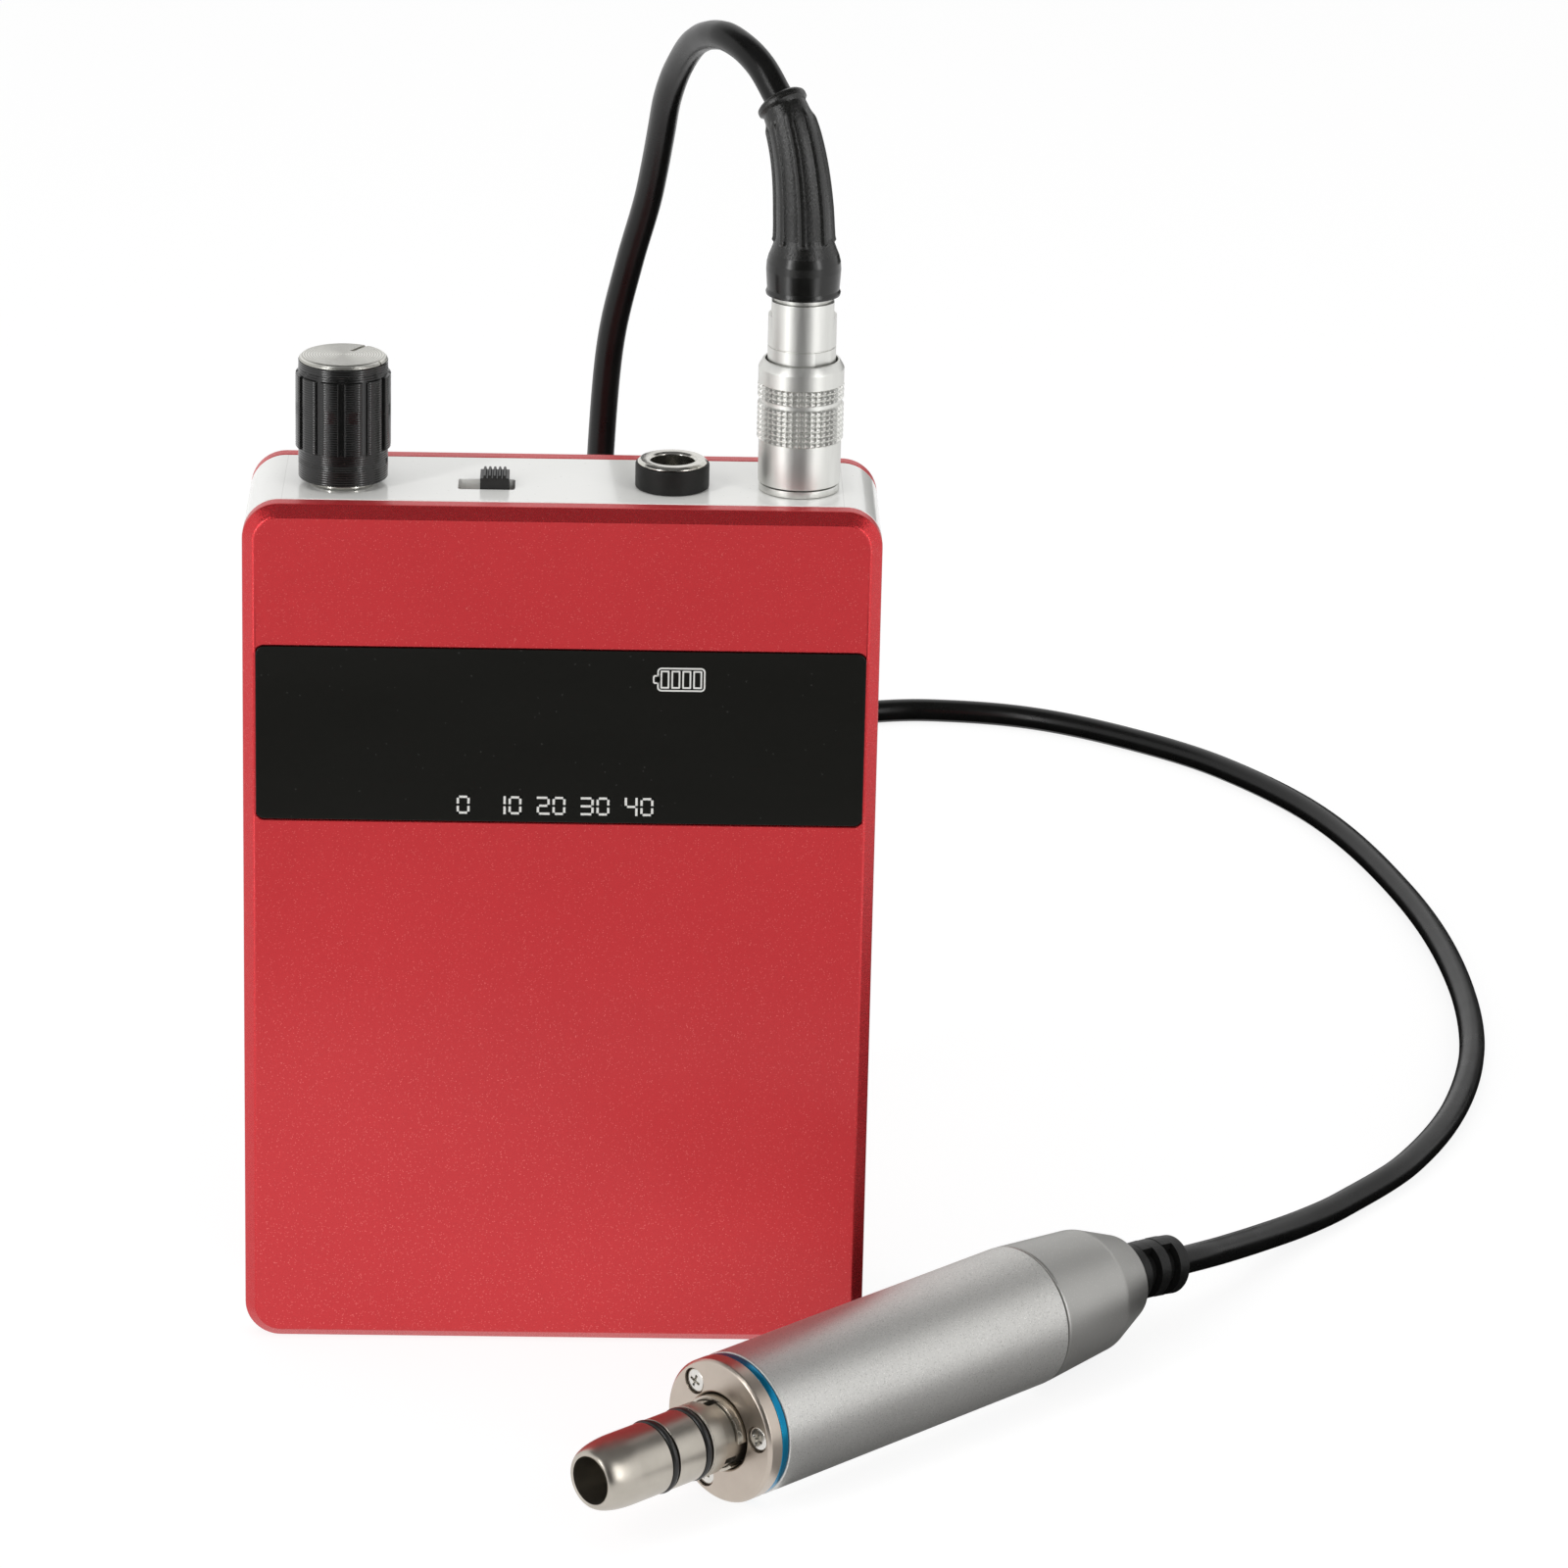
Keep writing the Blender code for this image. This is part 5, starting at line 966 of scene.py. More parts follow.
def knob_rows():
    """The knob from its hollow to the middle of its top, with some rows to each turned ring."""
    rows = [(0, hollow_top), (hollow_radius, hollow_top), (hollow_radius, 0), (knob_neck - 0.1, 0)]
    for low, radius, high in (
        (0, knob_neck, low_shoulder), (low_shoulder, knob_radius, high_shoulder),
        (high_shoulder, knob_neck, shell_top),
    ):
        count = round((high - low) / knob_rings * rows_to_ring)
        first, length = low + shoulder_round, high - low - 2 * shoulder_round
        rows += [(radius, first + length * row / count) for row in range(count + 1)]
    return [*rows, (knob_neck - 0.25, shell_top), (0, shell_top)]


bm = bmesh.new()
angles = flute_angles()
loft(bm, [
    [(radius * math.cos(angle), radius * math.sin(angle), height) for angle in angles]
    for radius, height in knob_rows()
])
shape = Shape(
    "knob_turning", Flutes=float(flutes), Width=flute_width, Depth=flute_depth, Low=low_shoulder,
    High=high_shoulder, Pitch=knob_rings, Ripple=ring_depth, Skin=knob_neck - 0.05, Lip=flute_lip,
)
spot = shape.add("GeometryNodeInputPosition")
axes = shape.add("ShaderNodeSeparateXYZ", {}, {"Vector": spot})
x, y, height = axes, axes.part("Y"), axes.part("Z")
reach = (x * x + y * y).math("SQRT")
turn = (y.math("ARCTAN2", x) / (2 * math.pi) + 0.25) * shape.size("Flutes") + 0.5
off = (turn.math("FRACT") - 0.5).math("ABSOLUTE") / shape.size("Flutes") * (2 * math.pi) * reach
lip_share = (off - shape.size("Width") / 2) / shape.size("Lip")
lip_share = lip_share.math("MAXIMUM", 0).math("MINIMUM", 1)
rounded = 1 - lip_share * (2 - lip_share)
fluted = rounded * (height > shape.size("Low")) * (height < shape.size("High"))
wave = ((height / shape.size("Pitch")).math("FRACT") - 0.5).math("ABSOLUTE") * 2
depth = fluted * shape.size("Depth") + wave * shape.size("Ripple") * (1 - fluted)
cut = depth * (reach > shape.size("Skin")) / (reach + 1e-6)
inward = shape.point(-1 * x * cut, -1 * y * cut, 0.0)
sockets = {"Geometry": shape.size("Geometry"), "Offset": inward}
carved = shape.add("GeometryNodeSetPosition", {}, sockets)
knob_mesh = shape.mesh(carved, finished(bm, "knob_blank"), anodised)
knob_mesh.transform(knob_spot)
piece("knob_body", shaded(knob_mesh, 50), anodised, "black_anodised", "knob", "knob_shell")


def block(name, place, size):
    """A box of the given size, its middle at the place."""
    bm = bmesh.new()
    bmesh.ops.create_cube(bm, size=1, matrix=place @ Matrix.Diagonal((*size, 1)))
    return finished(bm, name)


faced = Finish("faced_aluminium_top", metallic=1.0)
sockets = {0: faced.place, 1: knob_spot.translation * MM}
centre = faced.add("ShaderNodeVectorMath", {"operation": "SUBTRACT"}, sockets)
axes = faced.add("ShaderNodeSeparateXYZ", {}, {"Vector": centre})
reach = (axes * axes + axes.part("Y") * axes.part("Y")).math("SQRT")
groove_wave = ((reach / (0.36 * MM)).math("FRACT") - 0.5).math("ABSOLUTE") * 2
# The colour is darker in each groove and lighter on each crest: painted shade and highlight of the
# turned grooves, besides their bump.
faced.shade(
    base_color=faced.mix(groove_wave, colour(168, 167, 160), colour(232, 231, 225)),
    roughness=0.28 + 0.1 * faced.noise(300, 2), normal=faced.bump(groove_wave, 0.00006),
)
cap_edge, cap_radius, cap_bevel_low = 5.55, 6.0, 16.6
bm = bmesh.new()
cap = [
    (0, knob_top), (cap_edge, knob_top), (cap_radius, cap_bevel_low), (cap_radius, shell_top),
    (0, shell_top),
]
turned(bm, soften(cap, 0.08), knob_spot)
tools = [
    block("knob_mark", knob_spot @ spun(mark_turn) @ at(mark_place, 0, knob_top), mark_size),
    block("rim_notch", knob_spot @ spun(notch_turn) @ at(notch_place, 0, knob_top), notch_size),
]
cap_mesh = drilled(finished(bm, "knob_top"), tools, "knob_top")
piece("knob_top", cap_mesh, faced, "shaft_aluminium", "knob")


def lathe(name, place, profile, rounding, curve=3, steps=96):
    """A hollow turned form, its profile a closed outline with rounded corners."""
    bm = bmesh.new()
    turned(bm, soften(profile, rounding, curve, True), place, steps, closed=True)
    return finished(bm, name)


bright = mottled(
    "bright_nickel_plate", (1500, 3), (196, 194, 186), (226, 224, 217), (0.13, 0.12), (0.000008,),
    metallic=1.0,
)
washer_bore, washer_edge, washer_low, washer_top = 3.7, 4.4, 0.1, 0.5
washer = [
    (washer_bore, washer_top), (washer_edge, washer_top), (washer_edge, washer_low),
    (washer_bore, washer_low),
]
knob_washer = lathe("knob_washer", on_top(knob_x), washer, 0.08, steps=64)
piece("knob_washer", knob_washer, bright, "bright_nickel", "root", "pot_washer")
refinish(bright, "pot_nut", "jack_nut", "jack_pin")
tin = mottled(
    "plated_pot_case", (700, 3), (120, 120, 116), (150, 149, 144), (0.3, 0.2), metallic=0.9
)
refinish(tin, "pot_body")
shaft_metal = mottled(
    "drawn_shaft_aluminium", (1200, 2, (1, 1, 0.1)), (176, 176, 174), (206, 206, 203), (0.3, 0.15),
    metallic=1.0,
)
refinish(shaft_metal, "pot_shaft")
insert = mottled(
    "moulded_black_nylon", (400, 3), (24, 24, 24), (38, 38, 37), (0.45, 0.2), (0.00002,),
    specular_ior_level=0.4,
)
refinish(insert, "knob_insert", "socket_insert", "plug_insert")


# Slide switch. A beige moulded body behind the slot in the band, and a black lever with
# five grip ridges that stands out of it.
beige = mottled(
    "beige_switch_body", (500, 3), (150, 126, 96), (172, 148, 116), (0.45, 0.15), (0.00003,),
    specular_ior_level=0.4,
)
refinish(beige, "switch_body")
lever_black = mottled(
    "satin_black_lever", (1500, 3), (20, 20, 20), (34, 34, 33), (0.33, 0.15), (0.00002,),
    specular_ior_level=0.45,
)
lever_left, lever_right, lever_front, lever_rear = -11.35, -7.4, -4.65, -0.05
lever_x, lever_y = (lever_left + lever_right) / 2, (lever_front + lever_rear) / 2
lever_foot, lever_crown = case_top - 1.2, case_top + 1.9
lever_round, lever_drop = 0.12, 0.16
ridges, ridge_pitch, ridge_land, ridge_rise = 5, 0.67, 0.36, 0.4
stem_low = box("switch_lever")[0].z
stem_width, stem_depth, stem_overlap = 2.4, 2.0, 0.1


def lever_outline():
    """The lever seen from the front, as (x, height), with its ridges along the crown."""
    floor = lever_crown - ridge_rise
    points = [(lever_left, lever_foot), (lever_left, floor)]
    for index in range(ridges):
        x = lever_x + (index - (ridges - 1) / 2) * ridge_pitch
        foot, land = ridge_land / 2 + 0.05, ridge_land / 2 - 0.04
        points += [
            (x - foot, floor), (x - land, lever_crown), (x + land, lever_crown), (x + foot, floor),
        ]
    return [*points, (lever_right, floor), (lever_right, lever_foot)]


bm = bmesh.new()
outline = soften(lever_outline(), 0.07, 2, True)
rows = []
for y, drop in (
    (lever_front, lever_drop), (lever_front + lever_round, 0.0),
    (lever_rear - lever_round, 0.0), (lever_rear, lever_drop),
):
    rows.append([(x, y, z - drop if z > lever_foot + 0.5 else z) for x, z in outline])
loft(bm, rows, capped=True)
stem = at(lever_x, lever_y, (stem_low + lever_foot + stem_overlap) / 2)
stem_size = Matrix.Diagonal((stem_width, stem_depth, lever_foot - stem_low + stem_overlap, 1))
bmesh.ops.create_cube(bm, size=1, matrix=stem @ stem_size)
cap_mesh = finished(bm, "switch_cap")
piece("switch_cap", cap_mesh, lever_black, "switch_black", "switch_slider", "switch_lever")


# Charging socket. A black moulded jack, its flange on the band, with a nickel-plated
# bushing in its mouth and a pin at its centre.
socket_black = mottled(
    "matt_black_jack", (1100, 3), (11, 11, 10), (22, 22, 20), (0.46, 0.15), (0.00003,),
    specular_ior_level=0.3,
)
jack_spot = on_top(jack_x)
jack_bore, jack_floor, jack_depth = 3.6, -8.3, -11.0
jack_flange, jack_neck, jack_rise, pin_hole, seat = 5.05, 4.4, 3.4, 1.3, 0.1
jack_mesh = lathe("jack_moulding", jack_spot, [
    (jack_bore, jack_rise), (jack_flange, jack_rise), (jack_flange, seat), (jack_neck, seat),
    (jack_neck, jack_depth), (pin_hole, jack_depth), (pin_hole, jack_floor),
    (jack_bore, jack_floor),
], 0.2, 4)
piece("jack_moulding", jack_mesh, socket_black, "jack_black", "root", "jack_body")

rim_top, rim_low, rim_radius, rim_edge = 3.95, 3.45, 4.75, 4.4
rim_out, rim_in, rim_end = 3.3, 3.0, jack_floor + 0.3
rim_mesh = lathe("jack_rim", jack_spot, [
    (rim_out, rim_top), (rim_edge, rim_top), (rim_radius, rim_top - 0.35), (rim_radius, rim_low),
    (rim_out, rim_low), (rim_out, rim_end), (rim_in, rim_end), (rim_in, rim_top - 0.3),
], 0.06)
piece("jack_rim", rim_mesh, bright, "bright_nickel", "root", "jack_bushing")


# Cord connector. A round socket screwed into the band, and the plug of turned, nickel-plated
# brass: a barrel with a key flat, inside a sleeve with two bands of pyramid knurling that is
# pulled up against a spring to let the plug go.
nickel = mottled(
    "satin_nickel_plate", (900, 3, (1, 1, 0.12)), (206, 206, 202), (228, 228, 224), (0.35, 0.1),
    (0.000006, 2400, 2, (0.05, 0.05, 1)), metallic=1.0,
)
socket_spot = on_top(plug_x)
socket_ring, socket_neck, socket_bore, socket_rise, socket_depth = 5.48, 4.6, 3.9, 1.05, -11.4
panel_socket = lathe("panel_socket", socket_spot, [
    (socket_bore, socket_rise), (socket_ring, socket_rise), (socket_ring, seat),
    (socket_neck, seat), (socket_neck, socket_depth), (socket_bore, socket_depth),
], 0.12)
piece("panel_socket", panel_socket, nickel, "satin_nickel", "root", "socket_shell")
refinish(nickel, "socket_nut")

plain_radius, groove, shoulder, lip = 5.62, 5.5, 5.83, 5.2
stud_rise = 0.3
stud_floor = 5.87 - stud_rise
mouth, guide, guide_end = 4.94, 3.9, 10.0
sleeve_low, sleeve_top, lip_low = 1.27, 18.44, 17.31
low_knurl, low_knurl_end, high_knurl, high_knurl_end = 7.2, 12.49, 13.06, 15.19
sleeve = lathe("sleeve_blank", centred, [
    (mouth, sleeve_top), (lip, sleeve_top), (shoulder, lip_low), (shoulder, high_knurl_end),
    (stud_floor, high_knurl_end), (stud_floor, high_knurl), (groove, high_knurl),
    (groove, low_knurl_end), (stud_floor, low_knurl_end), (stud_floor, low_knurl),
    (plain_radius, low_knurl), (plain_radius, sleeve_low), (guide, sleeve_low),
    (guide, guide_end), (mouth, guide_end),
], 0.1, steps=128)

stud_high, stud_wide = 0.36, 0.40
stud_columns, row_pitch = 44, 0.745
stud = bmesh.new()
stud_corners = [(across, up) for across, up in ((1, -1), (1, 1), (-1, 1), (-1, -1))]
stud_rows = loft(stud, [
    [(rise, across * stud_wide * share, up * stud_high * share) for across, up in stud_corners]
    for rise, share in ((-0.02, 1.0), (0.24, 0.42), (stud_rise, 0.28))
])
stud.faces.new(stud_rows[-1])
stud_model = add_mesh("knurl_stud", finished(stud, "knurl_stud"))


def knurled(base, rows, low):
    """The base mesh with rows of studs round it, the lowest row's middle at the given height."""
    shape = Shape(
        "knurling", Rows=rows, Columns=stud_columns, Radius=stud_floor, Low=low, Pitch=row_pitch,
        Stud=stud_model,
    )
    columns, radius = shape.size("Columns"), shape.size("Radius")
    line = shape.add("GeometryNodeMeshLine", {}, {"Count": shape.size("Rows") * columns})
    index = shape.add("GeometryNodeInputIndex")
    turn = index.math("MODULO", columns) / columns * (2 * math.pi)
    height = (index / columns).math("FLOOR") * shape.size("Pitch") + shape.size("Low")
    spot = shape.point(turn.math("COSINE") * radius, turn.math("SINE") * radius, height)
    laid = shape.add("GeometryNodeSetPosition", {}, {"Geometry": line, "Position": spot})
    studs = shape.scatter(laid, "Stud", shape.point(0.0, 0.0, turn))
    sockets = {"Geometry": [studs, shape.size("Geometry")]}
    return shape.mesh(shape.add("GeometryNodeJoinGeometry", {}, sockets), base, nickel)


for rows, low in ((7, low_knurl + 0.41), (3, high_knurl + 0.33)):
    sleeve = knurled(sleeve, rows, low)
bpy.data.objects.remove(stud_model)
sleeve.transform(socket_spot)
sleeve = shaded(sleeve, 25)
plug_grip = piece("plug_grip", sleeve, nickel, "satin_nickel", "plug_lock", "plug_sleeve")

barrel, neck, tube, plug_bore = 4.64, 3.99, 3.6, 2.9
barrel_top, neck_low, tube_top, tube_low = 30.47, 26.77, 16, -5.8
line_height, line_floor = 20.35, barrel - 0.14
plug_mesh = lathe("plug_body", socket_spot, [
    (plug_bore, barrel_top), (neck, barrel_top), (neck, neck_low), (barrel, neck_low),
    (barrel, line_height + 0.09), (line_floor, line_height + 0.05),
    (line_floor, line_height - 0.05), (barrel, line_height - 0.09),
    (barrel, tube_top), (tube, tube_top), (tube, tube_low), (plug_bore, tube_low),
], 0.06, 2)
key_turn, key_place, key_size = -50, (4.98, 0, 18.9), (1.2, 3.0, 2.7)
flat_reach, flat_height, flat_size = 4.8, 25.7, (1.2, 7, 2.2)
tools = [block("key_flat", socket_spot @ spun(key_turn) @ at(*key_place), key_size)]
for side in (-1, 1):
    place = socket_spot @ at(side * flat_reach, 0, flat_height)
    tools.append(block("wrench_flat", place, flat_size))
plug_mesh = drilled(plug_mesh, tools, "plug_body")
plug_body = piece("plug_body", plug_mesh, nickel, "satin_nickel", "root", "plug_barrel")
wire = mottled(
    "spring_steel_wire", (2000, 2), (150, 150, 148), (182, 182, 180), (0.28, 0.14), metallic=1.0
)
refinish(wire, "sleeve_spring", "dog_spring")


# Plug boot. A soft black rubber bend protector, moulded in a spark-textured tool, with a
# rounded foot over the plug's neck, long raised ribs and a small rim where the cord leaves.
boot_start, boot_lean, boot_overlap = Vector((32, -2, 149.5)), Vector((-3.7, 3.8, 25.9)), 0.3
boot_end = boot_start + boot_lean - plug_end * boot_overlap
first_handle, last_handle = Vector((0, 0, 8.5)), plug_end * 8.0
boot_handles = (boot_start, boot_start + first_handle, boot_end - last_handle, boot_end)
boot_shoulder = 5.08
boot_shares = (
    (0, 0.99), (0.012, 1.0), (0.03, 0.965), (0.08, 0.985), (0.13, 1), (0.17, 0.984), (0.20, 0.94),
    (0.23, 0.872), (0.26, 0.81), (0.29, 0.768), (0.34, 0.755), (0.42, 0.744), (0.54, 0.713),
    (0.66, 0.683), (0.77, 0.659), (0.88, 0.63), (0.945, 0.608), (0.955, 0.64), (0.963, 0.685),
    (0.98, 0.69), (0.99, 0.68), (1, 0.62),
)
boot_ribs, rib_rise, rib_turn, rib_start, rib_end = 8, 0.34, 20, 0.262, 0.90
foot_bore, foot_pocket, boot_mouth, boot_hollow, boot_length = 4.3, 0.135, 2.15, 2.2, 27
mouth_share = 1 - boot_hollow / boot_length
boot_rows, boot_columns = 120, 120


def eased(value, low, high):
    """Nought below the low value, one above the high one, and a smooth step between."""
    share = min(max((value - low) / (high - low), 0), 1)
    return share * share * (3 - 2 * share)


def boot_radius(share):
    for (first, near), (second, far) in zip(boot_shares, boot_shares[1:]):
        if share <= second:
            return boot_shoulder * (near + (far - near) * (share - first) / (second - first))
    return boot_shoulder * boot_shares[-1][1]


def bezier_at(handles, share):
    """A point of the curve and its direction there."""
    rest = 1 - share
    a, b, c, d = handles
    point = a * rest**3 + b * (3 * rest**2 * share) + c * (3 * rest * share**2) + d * share**3
    ahead = (b - a) * rest**2 + (c - b) * (2 * rest * share) + (d - c) * share**2
    return point, ahead.normalized()


def boot_ring(share, radius, ribbed=0):
    """One ring of the boot, square to its centreline, with its ribs where they are asked for."""
    point, ahead = bezier_at(boot_handles, share)
    side = (Vector((1, 0, 0)) - ahead * ahead.x).normalized()
    up = ahead.cross(side)
    ring = []
    for step in range(boot_columns):
        angle = 2 * math.pi * step / boot_columns
        wave = math.cos(boot_ribs * angle + math.radians(rib_turn))
        reach = radius + ribbed * rib_rise * eased(wave, 0.5, 0.8)
        ring.append(point + side * (reach * math.cos(angle)) + up * (reach * math.sin(angle)))
    return ring


loops = [boot_ring(foot_pocket, 0), boot_ring(foot_pocket, foot_bore), boot_ring(0, foot_bore)]
even_shares = {row / boot_rows for row in range(boot_rows + 1)}
for share in sorted({share for share, radius in boot_shares} | even_shares):
    begun = eased(share, rib_start, rib_start + 0.012)
    ribbed = begun * (1 - eased(share, rib_end - 0.06, rib_end))
    loops.append(boot_ring(share, boot_radius(share), ribbed))
for share, radius in ((1, boot_mouth), (mouth_share, boot_mouth), (mouth_share, 0)):
    loops.append(boot_ring(share, radius))
bm = bmesh.new()
loft(bm, loops)
rubber = Finish("textured_black_rubber", specular_ior_level=0.5)
foot = rubber.along("Z") < (boot_start.z + 5.7) * MM
grain = rubber.noise(3400, 4, rough=0.65) * (1 - 0.75 * foot)
coarse = rubber.noise(900, 2)
worn = rubber.ramp(grain, 0.56, 0.72)
tone = rubber.mix(coarse, colour(10, 10, 9), colour(19, 19, 17))
tone = rubber.mix(0.3 * worn, tone, colour(64, 63, 60))
rubber.shade(
    base_color=tone, roughness=0.22 + 0.1 * coarse - 0.06 * worn - 0.04 * foot,
    normal=rubber.bump(grain, 0.00005),
)
boot_mesh = finished(bm, "plug_bend_boot", 40)
boot = piece("plug_bend_boot", boot_mesh, rubber, "boot_rubber", "root", "plug_boot")


# Handpiece. Its axis lies on the table, turned towards the left front. Each piece is turned
# from bar: heights below run from the front flange's face back towards the cord.
front_place = Vector((22.4, -65.0, 10.0))
axis_turn = math.radians(43)
ahead = Vector((math.cos(axis_turn), math.sin(axis_turn), 0))
sideways = Vector((-math.sin(axis_turn), math.cos(axis_turn), 0))
axis = at(*front_place) @ Matrix((Vector((0, 0, -1)), sideways, ahead)).transposed().to_4x4()


def along_axis(finish):
    """The finish's coordinates turned to the handpiece: across twice, then along it."""
    kind = "ShaderNodeVectorMath"
    spot = finish.add(kind, {"operation": "SUBTRACT"}, {0: finish.place, 1: front_place * MM})
    parts = {}
    for letter, direction in zip("XYZ", (Vector((0, 0, 1)), sideways, ahead)):
        sockets = {0: spot, 1: direction}
        parts[letter] = finish.add(kind, {"operation": "DOT_PRODUCT"}, sockets, "Value")
    return finish.add("ShaderNodeCombineXYZ", {}, parts)


def housing(name, profile, rounding, finish, slot, node):
    """A turned part of the handpiece's outside."""
    piece(name, lathe(name, axis, profile, rounding, 4, 128), finish, slot, "root", node)


barrel_radius, barrel_start, barrel_end, barrel_bore = 9.97, 3.65, 57.2, 8.85
axle_bore, wall_start, wall_end = 5.5, 5.0, 8.0
blasted = Finish("bead_blasted_aluminium", metallic=1.0)
blasted.place = along_axis(blasted)
grit = blasted.noise(4600, 4, rough=0.75)
painted_glint = blasted.specks(9500, 0.05)
tone = blasted.mix(blasted.noise(60, 2), colour(198, 197, 194), colour(211, 210, 207))
# Dark specks are painted shade in the blast pits; the bright specks with lower roughness are
# painted glints.
tone = blasted.mix(0.35 * blasted.specks(8000, 0.08), tone, colour(120, 119, 116))
tone = blasted.mix(0.5 * painted_glint, tone, colour(240, 239, 235))
blasted.shade(
    base_color=tone, roughness=0.44 + 0.08 * grit - 0.12 * painted_glint,
    normal=blasted.bump(grit, 0.000018),
)
housing("motor_housing", [
    (barrel_bore, barrel_end), (barrel_radius, barrel_end), (barrel_radius, barrel_start),
    (barrel_bore, barrel_start), (barrel_bore, wall_start), (axle_bore, wall_start),
    (axle_bore, wall_end), (barrel_bore, wall_end),
], 0.25, blasted, "blasted_silver", "handpiece_barrel")

tail_start, tail_edge, tail_end = 57.4, 70.5, 77.4
tail_spigot, tail_bore, tail_mouth, spigot_start = 8.55, 7.4, 4.45, 52.0
tail_radius, edge_radius, rear_radius, funnel_start, funnel_end = 9.95, 8.85, 6.15, 65.9, 68.9
tail_metal = Finish("bead_blasted_tail", metallic=1.0)
tail_metal.place = along_axis(tail_metal)
grit = tail_metal.noise(4600, 4, rough=0.75)
painted_glint = tail_metal.specks(9500, 0.05)
tone = tail_metal.mix(tail_metal.noise(80, 2), colour(166, 165, 162), colour(180, 179, 176))
# The bright specks with lower roughness are painted glints.
tone = tail_metal.mix(0.25 * painted_glint, tone, colour(205, 204, 200))
tail_metal.shade(
    base_color=tone, roughness=0.4 + 0.1 * grit - 0.08 * painted_glint,
    normal=tail_metal.bump(grit, 0.000015),
)
housing("tail_housing", [
    (tail_mouth, tail_end), (rear_radius, tail_end), (edge_radius, tail_edge),
    (tail_radius, tail_start), (tail_spigot, tail_start), (tail_spigot, spigot_start),
    (tail_bore, spigot_start), (tail_bore, funnel_start), (tail_mouth, funnel_end),
], 0.5, tail_metal, "tail_grey", "tail_cap")

blue = mottled(
    "blue_anodised_ring", (300, 2), (6, 104, 150), (18, 140, 176), (0.2, 0.1),
    (0.00001, 1800, 2, (0.05, 0.05, 1)), along_axis, metallic=0.85,
)
ring_bore, ring_radius, ring_near, ring_far = 8.8, 9.85, 2.42, 3.53
blue_ring = [
    (ring_bore, ring_far), (ring_radius, ring_far), (ring_radius, ring_near),
    (ring_bore, ring_near),
]
housing("blue_band", blue_ring, 0.12, blue, "blue_anodised", "blue_ring")

stainless = mottled(
    "turned_stainless_steel", (260, 3), (182, 171, 160), (204, 193, 181), (0.3, 0.06),
    (0.000003, 2600, 2, (0.04, 0.04, 1)), along_axis, metallic=1.0,
)
flange_bore, flange_spigot, spigot_end, flange_rear = 5.35, 8.55, 4.7, 2.3
face_radius, face_bore, outer_bevel, bore_bevel = 9.57, 5.6, 0.4, 0.25
flange_mesh = lathe("front_plate", axis, [
    (flange_bore, spigot_end), (flange_spigot, spigot_end), (flange_spigot, flange_rear),
    (barrel_radius, flange_rear), (barrel_radius, outer_bevel), (face_radius, 0), (face_bore, 0),
    (flange_bore, bore_bevel),
], 0.12, steps=128)
sink_place, sink_wide, sink_deep, screw_hole = 7.45, 1.83, 1.1, 0.85
spots = []
tools = []
for angle in (50, 170, 290):
    turn = math.radians(angle)
    spots.append((-sink_place * math.sin(turn), sink_place * math.cos(turn), 0))
    place = axis @ at(*spots[-1])
    tools.append(rod(sink_wide, -1, sink_deep, place, "screw_sink", 40))
    tools.append(rod(screw_hole, 0, 6, place, "screw_hole", 24))
flange_mesh = drilled(flange_mesh, tools, "front_plate")
piece("front_plate", flange_mesh, stainless, "flange_steel", "root", "front_flange")

polished = mottled(
    "polished_screw_steel", (3000, 3), (205, 203, 198), (230, 228, 223), (0.12, 0.12), metallic=1.0
)
pan_radius, pan_top, pan_low, pan_shank, pan_end = 1.7, 0.1, 1.0, 0.7, 7.5
dome = [(0, pan_top), (0.9, pan_top + 0.02), (pan_radius, pan_top + 0.2), (pan_radius, pan_low)]
bm = bmesh.new()
shank = [(pan_shank, pan_low), (pan_shank, pan_end), (0, pan_end)]
turned(bm, [*soften(dome, 0.3, 5), *shank], centred, 40)
recess_tool = cross_recess(0.95, 0.55, 0.2, at(0, 0, pan_top) @ spun(180, "X"), "pan_recess")
pan_screw = drilled(finished(bm, "pan_screw"), [recess_tool], "pan_screw")
screws = copies_at("clamp_screws", spots, (0, 0, math.radians(20)), pan_screw, polished)
screws.transform(axis)
names = numbered("flange_screw", 3)
piece("clamp_screws", screws, polished, "bright_screw_steel", "root", *names)


# Coupling nose. A stainless tube with a lead at its tip, two O-rings in grooves, and a
# recess for the open spring clip that holds an attachment on.
nose_steel = mottled(
    "polished_nose_steel", (300, 3), (172, 166, 156), (196, 190, 180), (0.31, 0.06),
    (0.000003, 3000, 2, (0.04, 0.04, 1)), along_axis, metallic=1.0,
)
nose, collar, recess, base, bore, seat_bore = 4.92, 5.0, 4.65, 5.2, 3.3, 4.3
base_end, recess_reach, collar_end, seat_floor = 12.6, 3, -5.2, 8.7
ring_places = (-6.1, -12.1)
wire_radius, groove_half, ring_out = 0.5, 0.7, nose + 0.15
groove_floor = ring_out - 2 * wire_radius - 0.1
tip_start, tip_end, tip_radius = -17.8, -23.2, 3.72
tip_turn, tip_steps = math.radians(82), 14
nose_rows = [
    (seat_bore, base_end), (base, base_end), (base, recess_reach), (recess, recess_reach),
    (recess, -recess_reach), (collar, -recess_reach), (collar, collar_end), (nose, collar_end),
]
for middle in ring_places:
    high, low = middle + groove_half, middle - groove_half
    nose_rows += [(nose, high), (groove_floor, high), (groove_floor, low), (nose, low)]
nose_rows += [(bore, tip_end), (bore, seat_floor), (seat_bore, seat_floor)]
nose_rows = soften(nose_rows, 0.12, 3, True)
tip = []
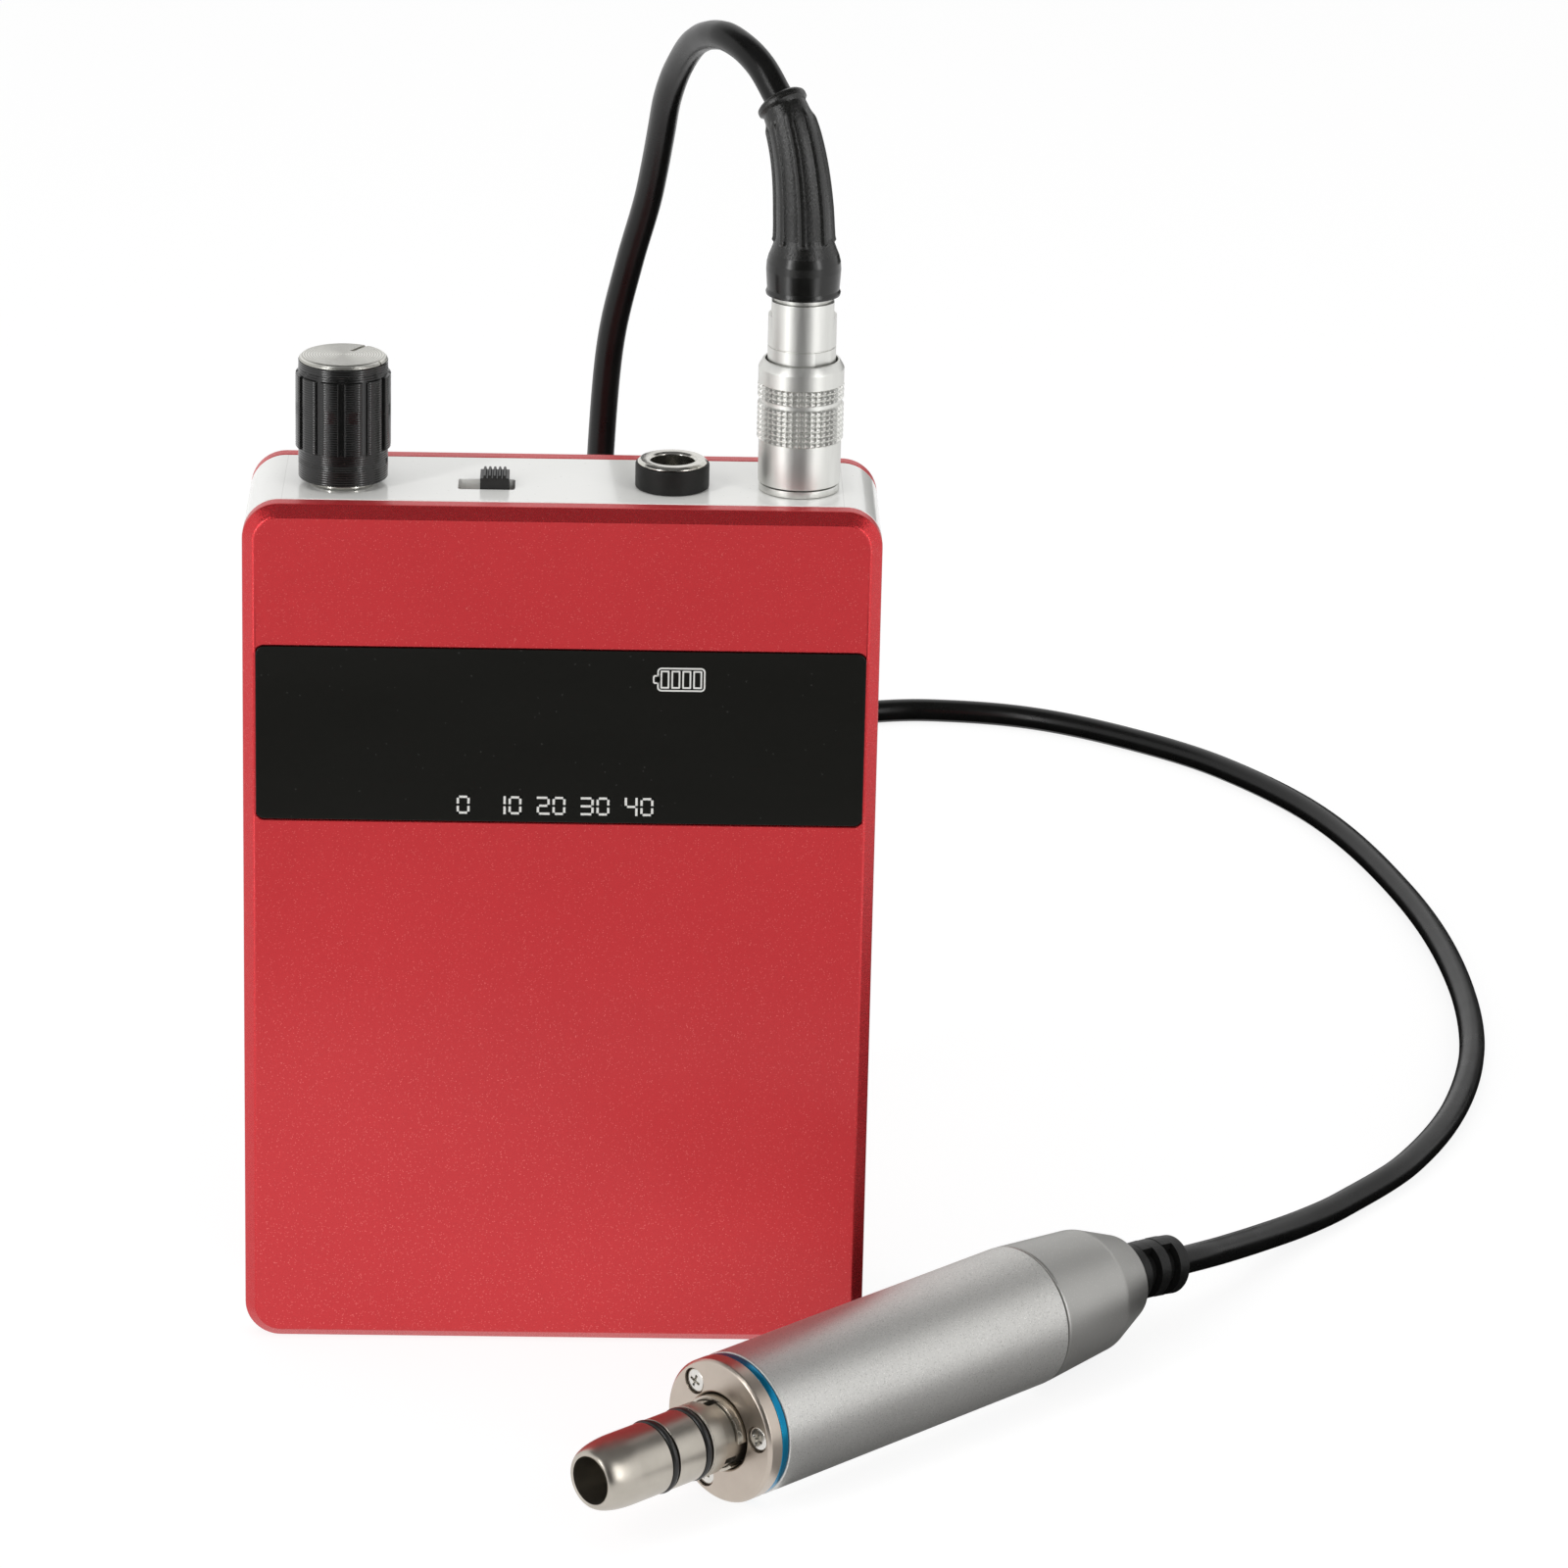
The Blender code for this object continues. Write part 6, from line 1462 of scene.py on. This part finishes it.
for step in range(tip_steps + 1):
    angle = tip_turn * step / tip_steps
    inward = (math.cos(angle) - math.cos(tip_turn)) / (1 - math.cos(tip_turn))
    forward = math.sin(angle) / math.sin(tip_turn)
    tip.append((
        tip_radius + (nose - tip_radius) * inward, tip_start + (tip_end - tip_start) * forward,
    ))
cut = next(
    index for index, (radius, height) in enumerate(nose_rows)
    if height < tip_start and radius < nose - wire_radius
)
bm = bmesh.new()
turned(bm, [*nose_rows[:cut], *tip, *nose_rows[cut:]], axis, 128, closed=True)
slot_wide, slot_start, slot_end = 1.2, -2.6, -0.6
slot = ring_outline(slot_wide / 2, slot_start, slot_end, 0.35, 5)
tools = []
for turn in (0, 120, 240):
    tool = bmesh.new()
    spin = axis @ spun(turn)
    loft(tool, [
        [spin @ Vector((-reach, across, height)) for across, height in slot] for reach in (2.0, 6.0)
    ], capped=True)
    tools.append(finished(tool, "nose_window"))
nose_mesh = drilled(finished(bm, "coupling_nose"), tools, "coupling_nose")
piece("coupling_nose", nose_mesh, nose_steel, "nose_steel", "root", "nose_tube")

o_ring = mottled(
    "semi_gloss_ring_rubber", (2200, 3), (16, 16, 16), (28, 28, 27), (0.26, 0.14), (0.00002,),
    specular_ior_level=0.5,
)
names = (("rear_seal", "o_ring_rear"), ("front_seal", "o_ring_front"))
for (name, node), height in zip(names, ring_places):
    bm = bmesh.new()
    middle = ring_out - wire_radius
    section = [(middle + across, height + up) for across, up in circle(wire_radius, 20)]
    turned(bm, section, axis, 128, closed=True)
    piece(name, finished(bm, name, 60), o_ring, "o_ring_rubber", "root", node)

clip_steel = mottled(
    "spring_clip_steel", (500, 3), (176, 170, 160), (204, 198, 187), (0.2, 0.12), metallic=1.0
)
clip_inside, clip_outside, clip_start, clip_end = 4.75, 5.2, -1.2, 0.9
clip_mouth, clip_turn = 4.0, 110
clip_mesh = lathe("spring_clip", axis, [
    (clip_inside, clip_end), (clip_outside, clip_end), (clip_outside, clip_start),
    (clip_inside, clip_start),
], 0.1)
gap = axis @ spun(clip_turn) @ at(-clip_outside, 0, -0.15)
tool = block("clip_gap", gap, (2 * clip_outside, clip_mouth, 4))
clip_mesh = drilled(clip_mesh, [tool], "spring_clip")
piece("spring_clip", clip_mesh, clip_steel, "latch_steel", "root", "latch_clip")


# Cord outlet. A black rubber bend protector in the tail's end, slotted across so that it
# bends, with a rib left above and below.
outlet = mottled(
    "black_outlet_rubber", (2600, 3), (13, 13, 13), (24, 24, 23), (0.32, 0.16), (0.00004,),
    specular_ior_level=0.25,
)
outlet_radius, outlet_core, outlet_mouth, mouth_depth = 4.15, 2.9, 2.1, 1.5
outlet_start, bend_start, bend_end = 73.0, 77.0, 88.0
outlet_rows = (
    (80.5, False), (80.5, True), (82.45, True), (82.45, False), (84.25, False), (84.25, True),
    (86.2, True), (86.2, False), (bend_end, False),
)
droop = 1.0
rib_half = math.radians(24)
outlet_steps = 96


def outlet_ring(height, radius, slotted=False):
    """One ring of the outlet, sagging with its height; a slotted one keeps its ribs whole."""
    share = max(height - bend_start, 0) / (bend_end - bend_start)
    ring = []
    for step in range(outlet_steps):
        angle = 2 * math.pi * step / outlet_steps
        off = min(abs(math.remainder(angle, math.pi)), math.pi / 2)
        cut = eased(off, rib_half - 0.02, rib_half + 0.04) if slotted else 0
        reach = radius - cut * (radius - outlet_core)
        x, y = reach * math.cos(angle), reach * math.sin(angle)
        lean = 2 * droop * share / (bend_end - bend_start) * x
        ring.append(axis @ Vector((x + droop * share**2, y, height - lean)))
    return ring


loops = [outlet_ring(outlet_start, 0)]
for height in (outlet_start, bend_start, outlet_rows[0][0] - 0.08):
    loops.append(outlet_ring(height, outlet_radius))
for height, slotted in outlet_rows:
    loops.append(outlet_ring(height, outlet_radius - 0.06 * (not slotted), slotted))
mouth_floor = bend_end - mouth_depth
for height, radius in ((bend_end, outlet_mouth), (mouth_floor, outlet_mouth), (mouth_floor, 0)):
    loops.append(outlet_ring(height, radius))
bm = bmesh.new()
loft(bm, loops)
outlet_mesh = finished(bm, "outlet_sleeve")
piece("outlet_sleeve", outlet_mesh, outlet, "boot_rubber", "root", "cord_grommet")


# Motor. Windings round a magnet on the axle, a ball bearing at each end, an end cap, and the
# sprung dog that drives an attachment. All but the dog are out of sight inside the housing.
copper = mottled(
    "enamelled_windings", (900, 2, (1, 1, 0.15)), (150, 78, 42), (186, 108, 62), (0.3, 0.2),
    (0.0001,), along_axis, metallic=0.7,
)
refinish(copper, "motor_stator")
magnet = mottled(
    "epoxy_coated_magnet", (700, 3), (36, 36, 38), (54, 54, 56), (0.45, 0.2), specular_ior_level=0.4
)
refinish(magnet, "rotor_magnet")
ground = mottled(
    "ground_bearing_steel", (2600, 2, (0.05, 0.05, 1)), (168, 168, 166), (198, 198, 195),
    (0.2, 0.12), place=along_axis, metallic=1.0,
)
refinish(ground, "front_bearing", "rear_bearing", "motor_shaft", "drive_dog")
brass = mottled(
    "turned_brass_cap", (400, 3), (168, 136, 74), (196, 164, 98), (0.26, 0.2), metallic=1.0
)
refinish(brass, "motor_end_cap")

stage.view_settings.view_transform = "Standard"
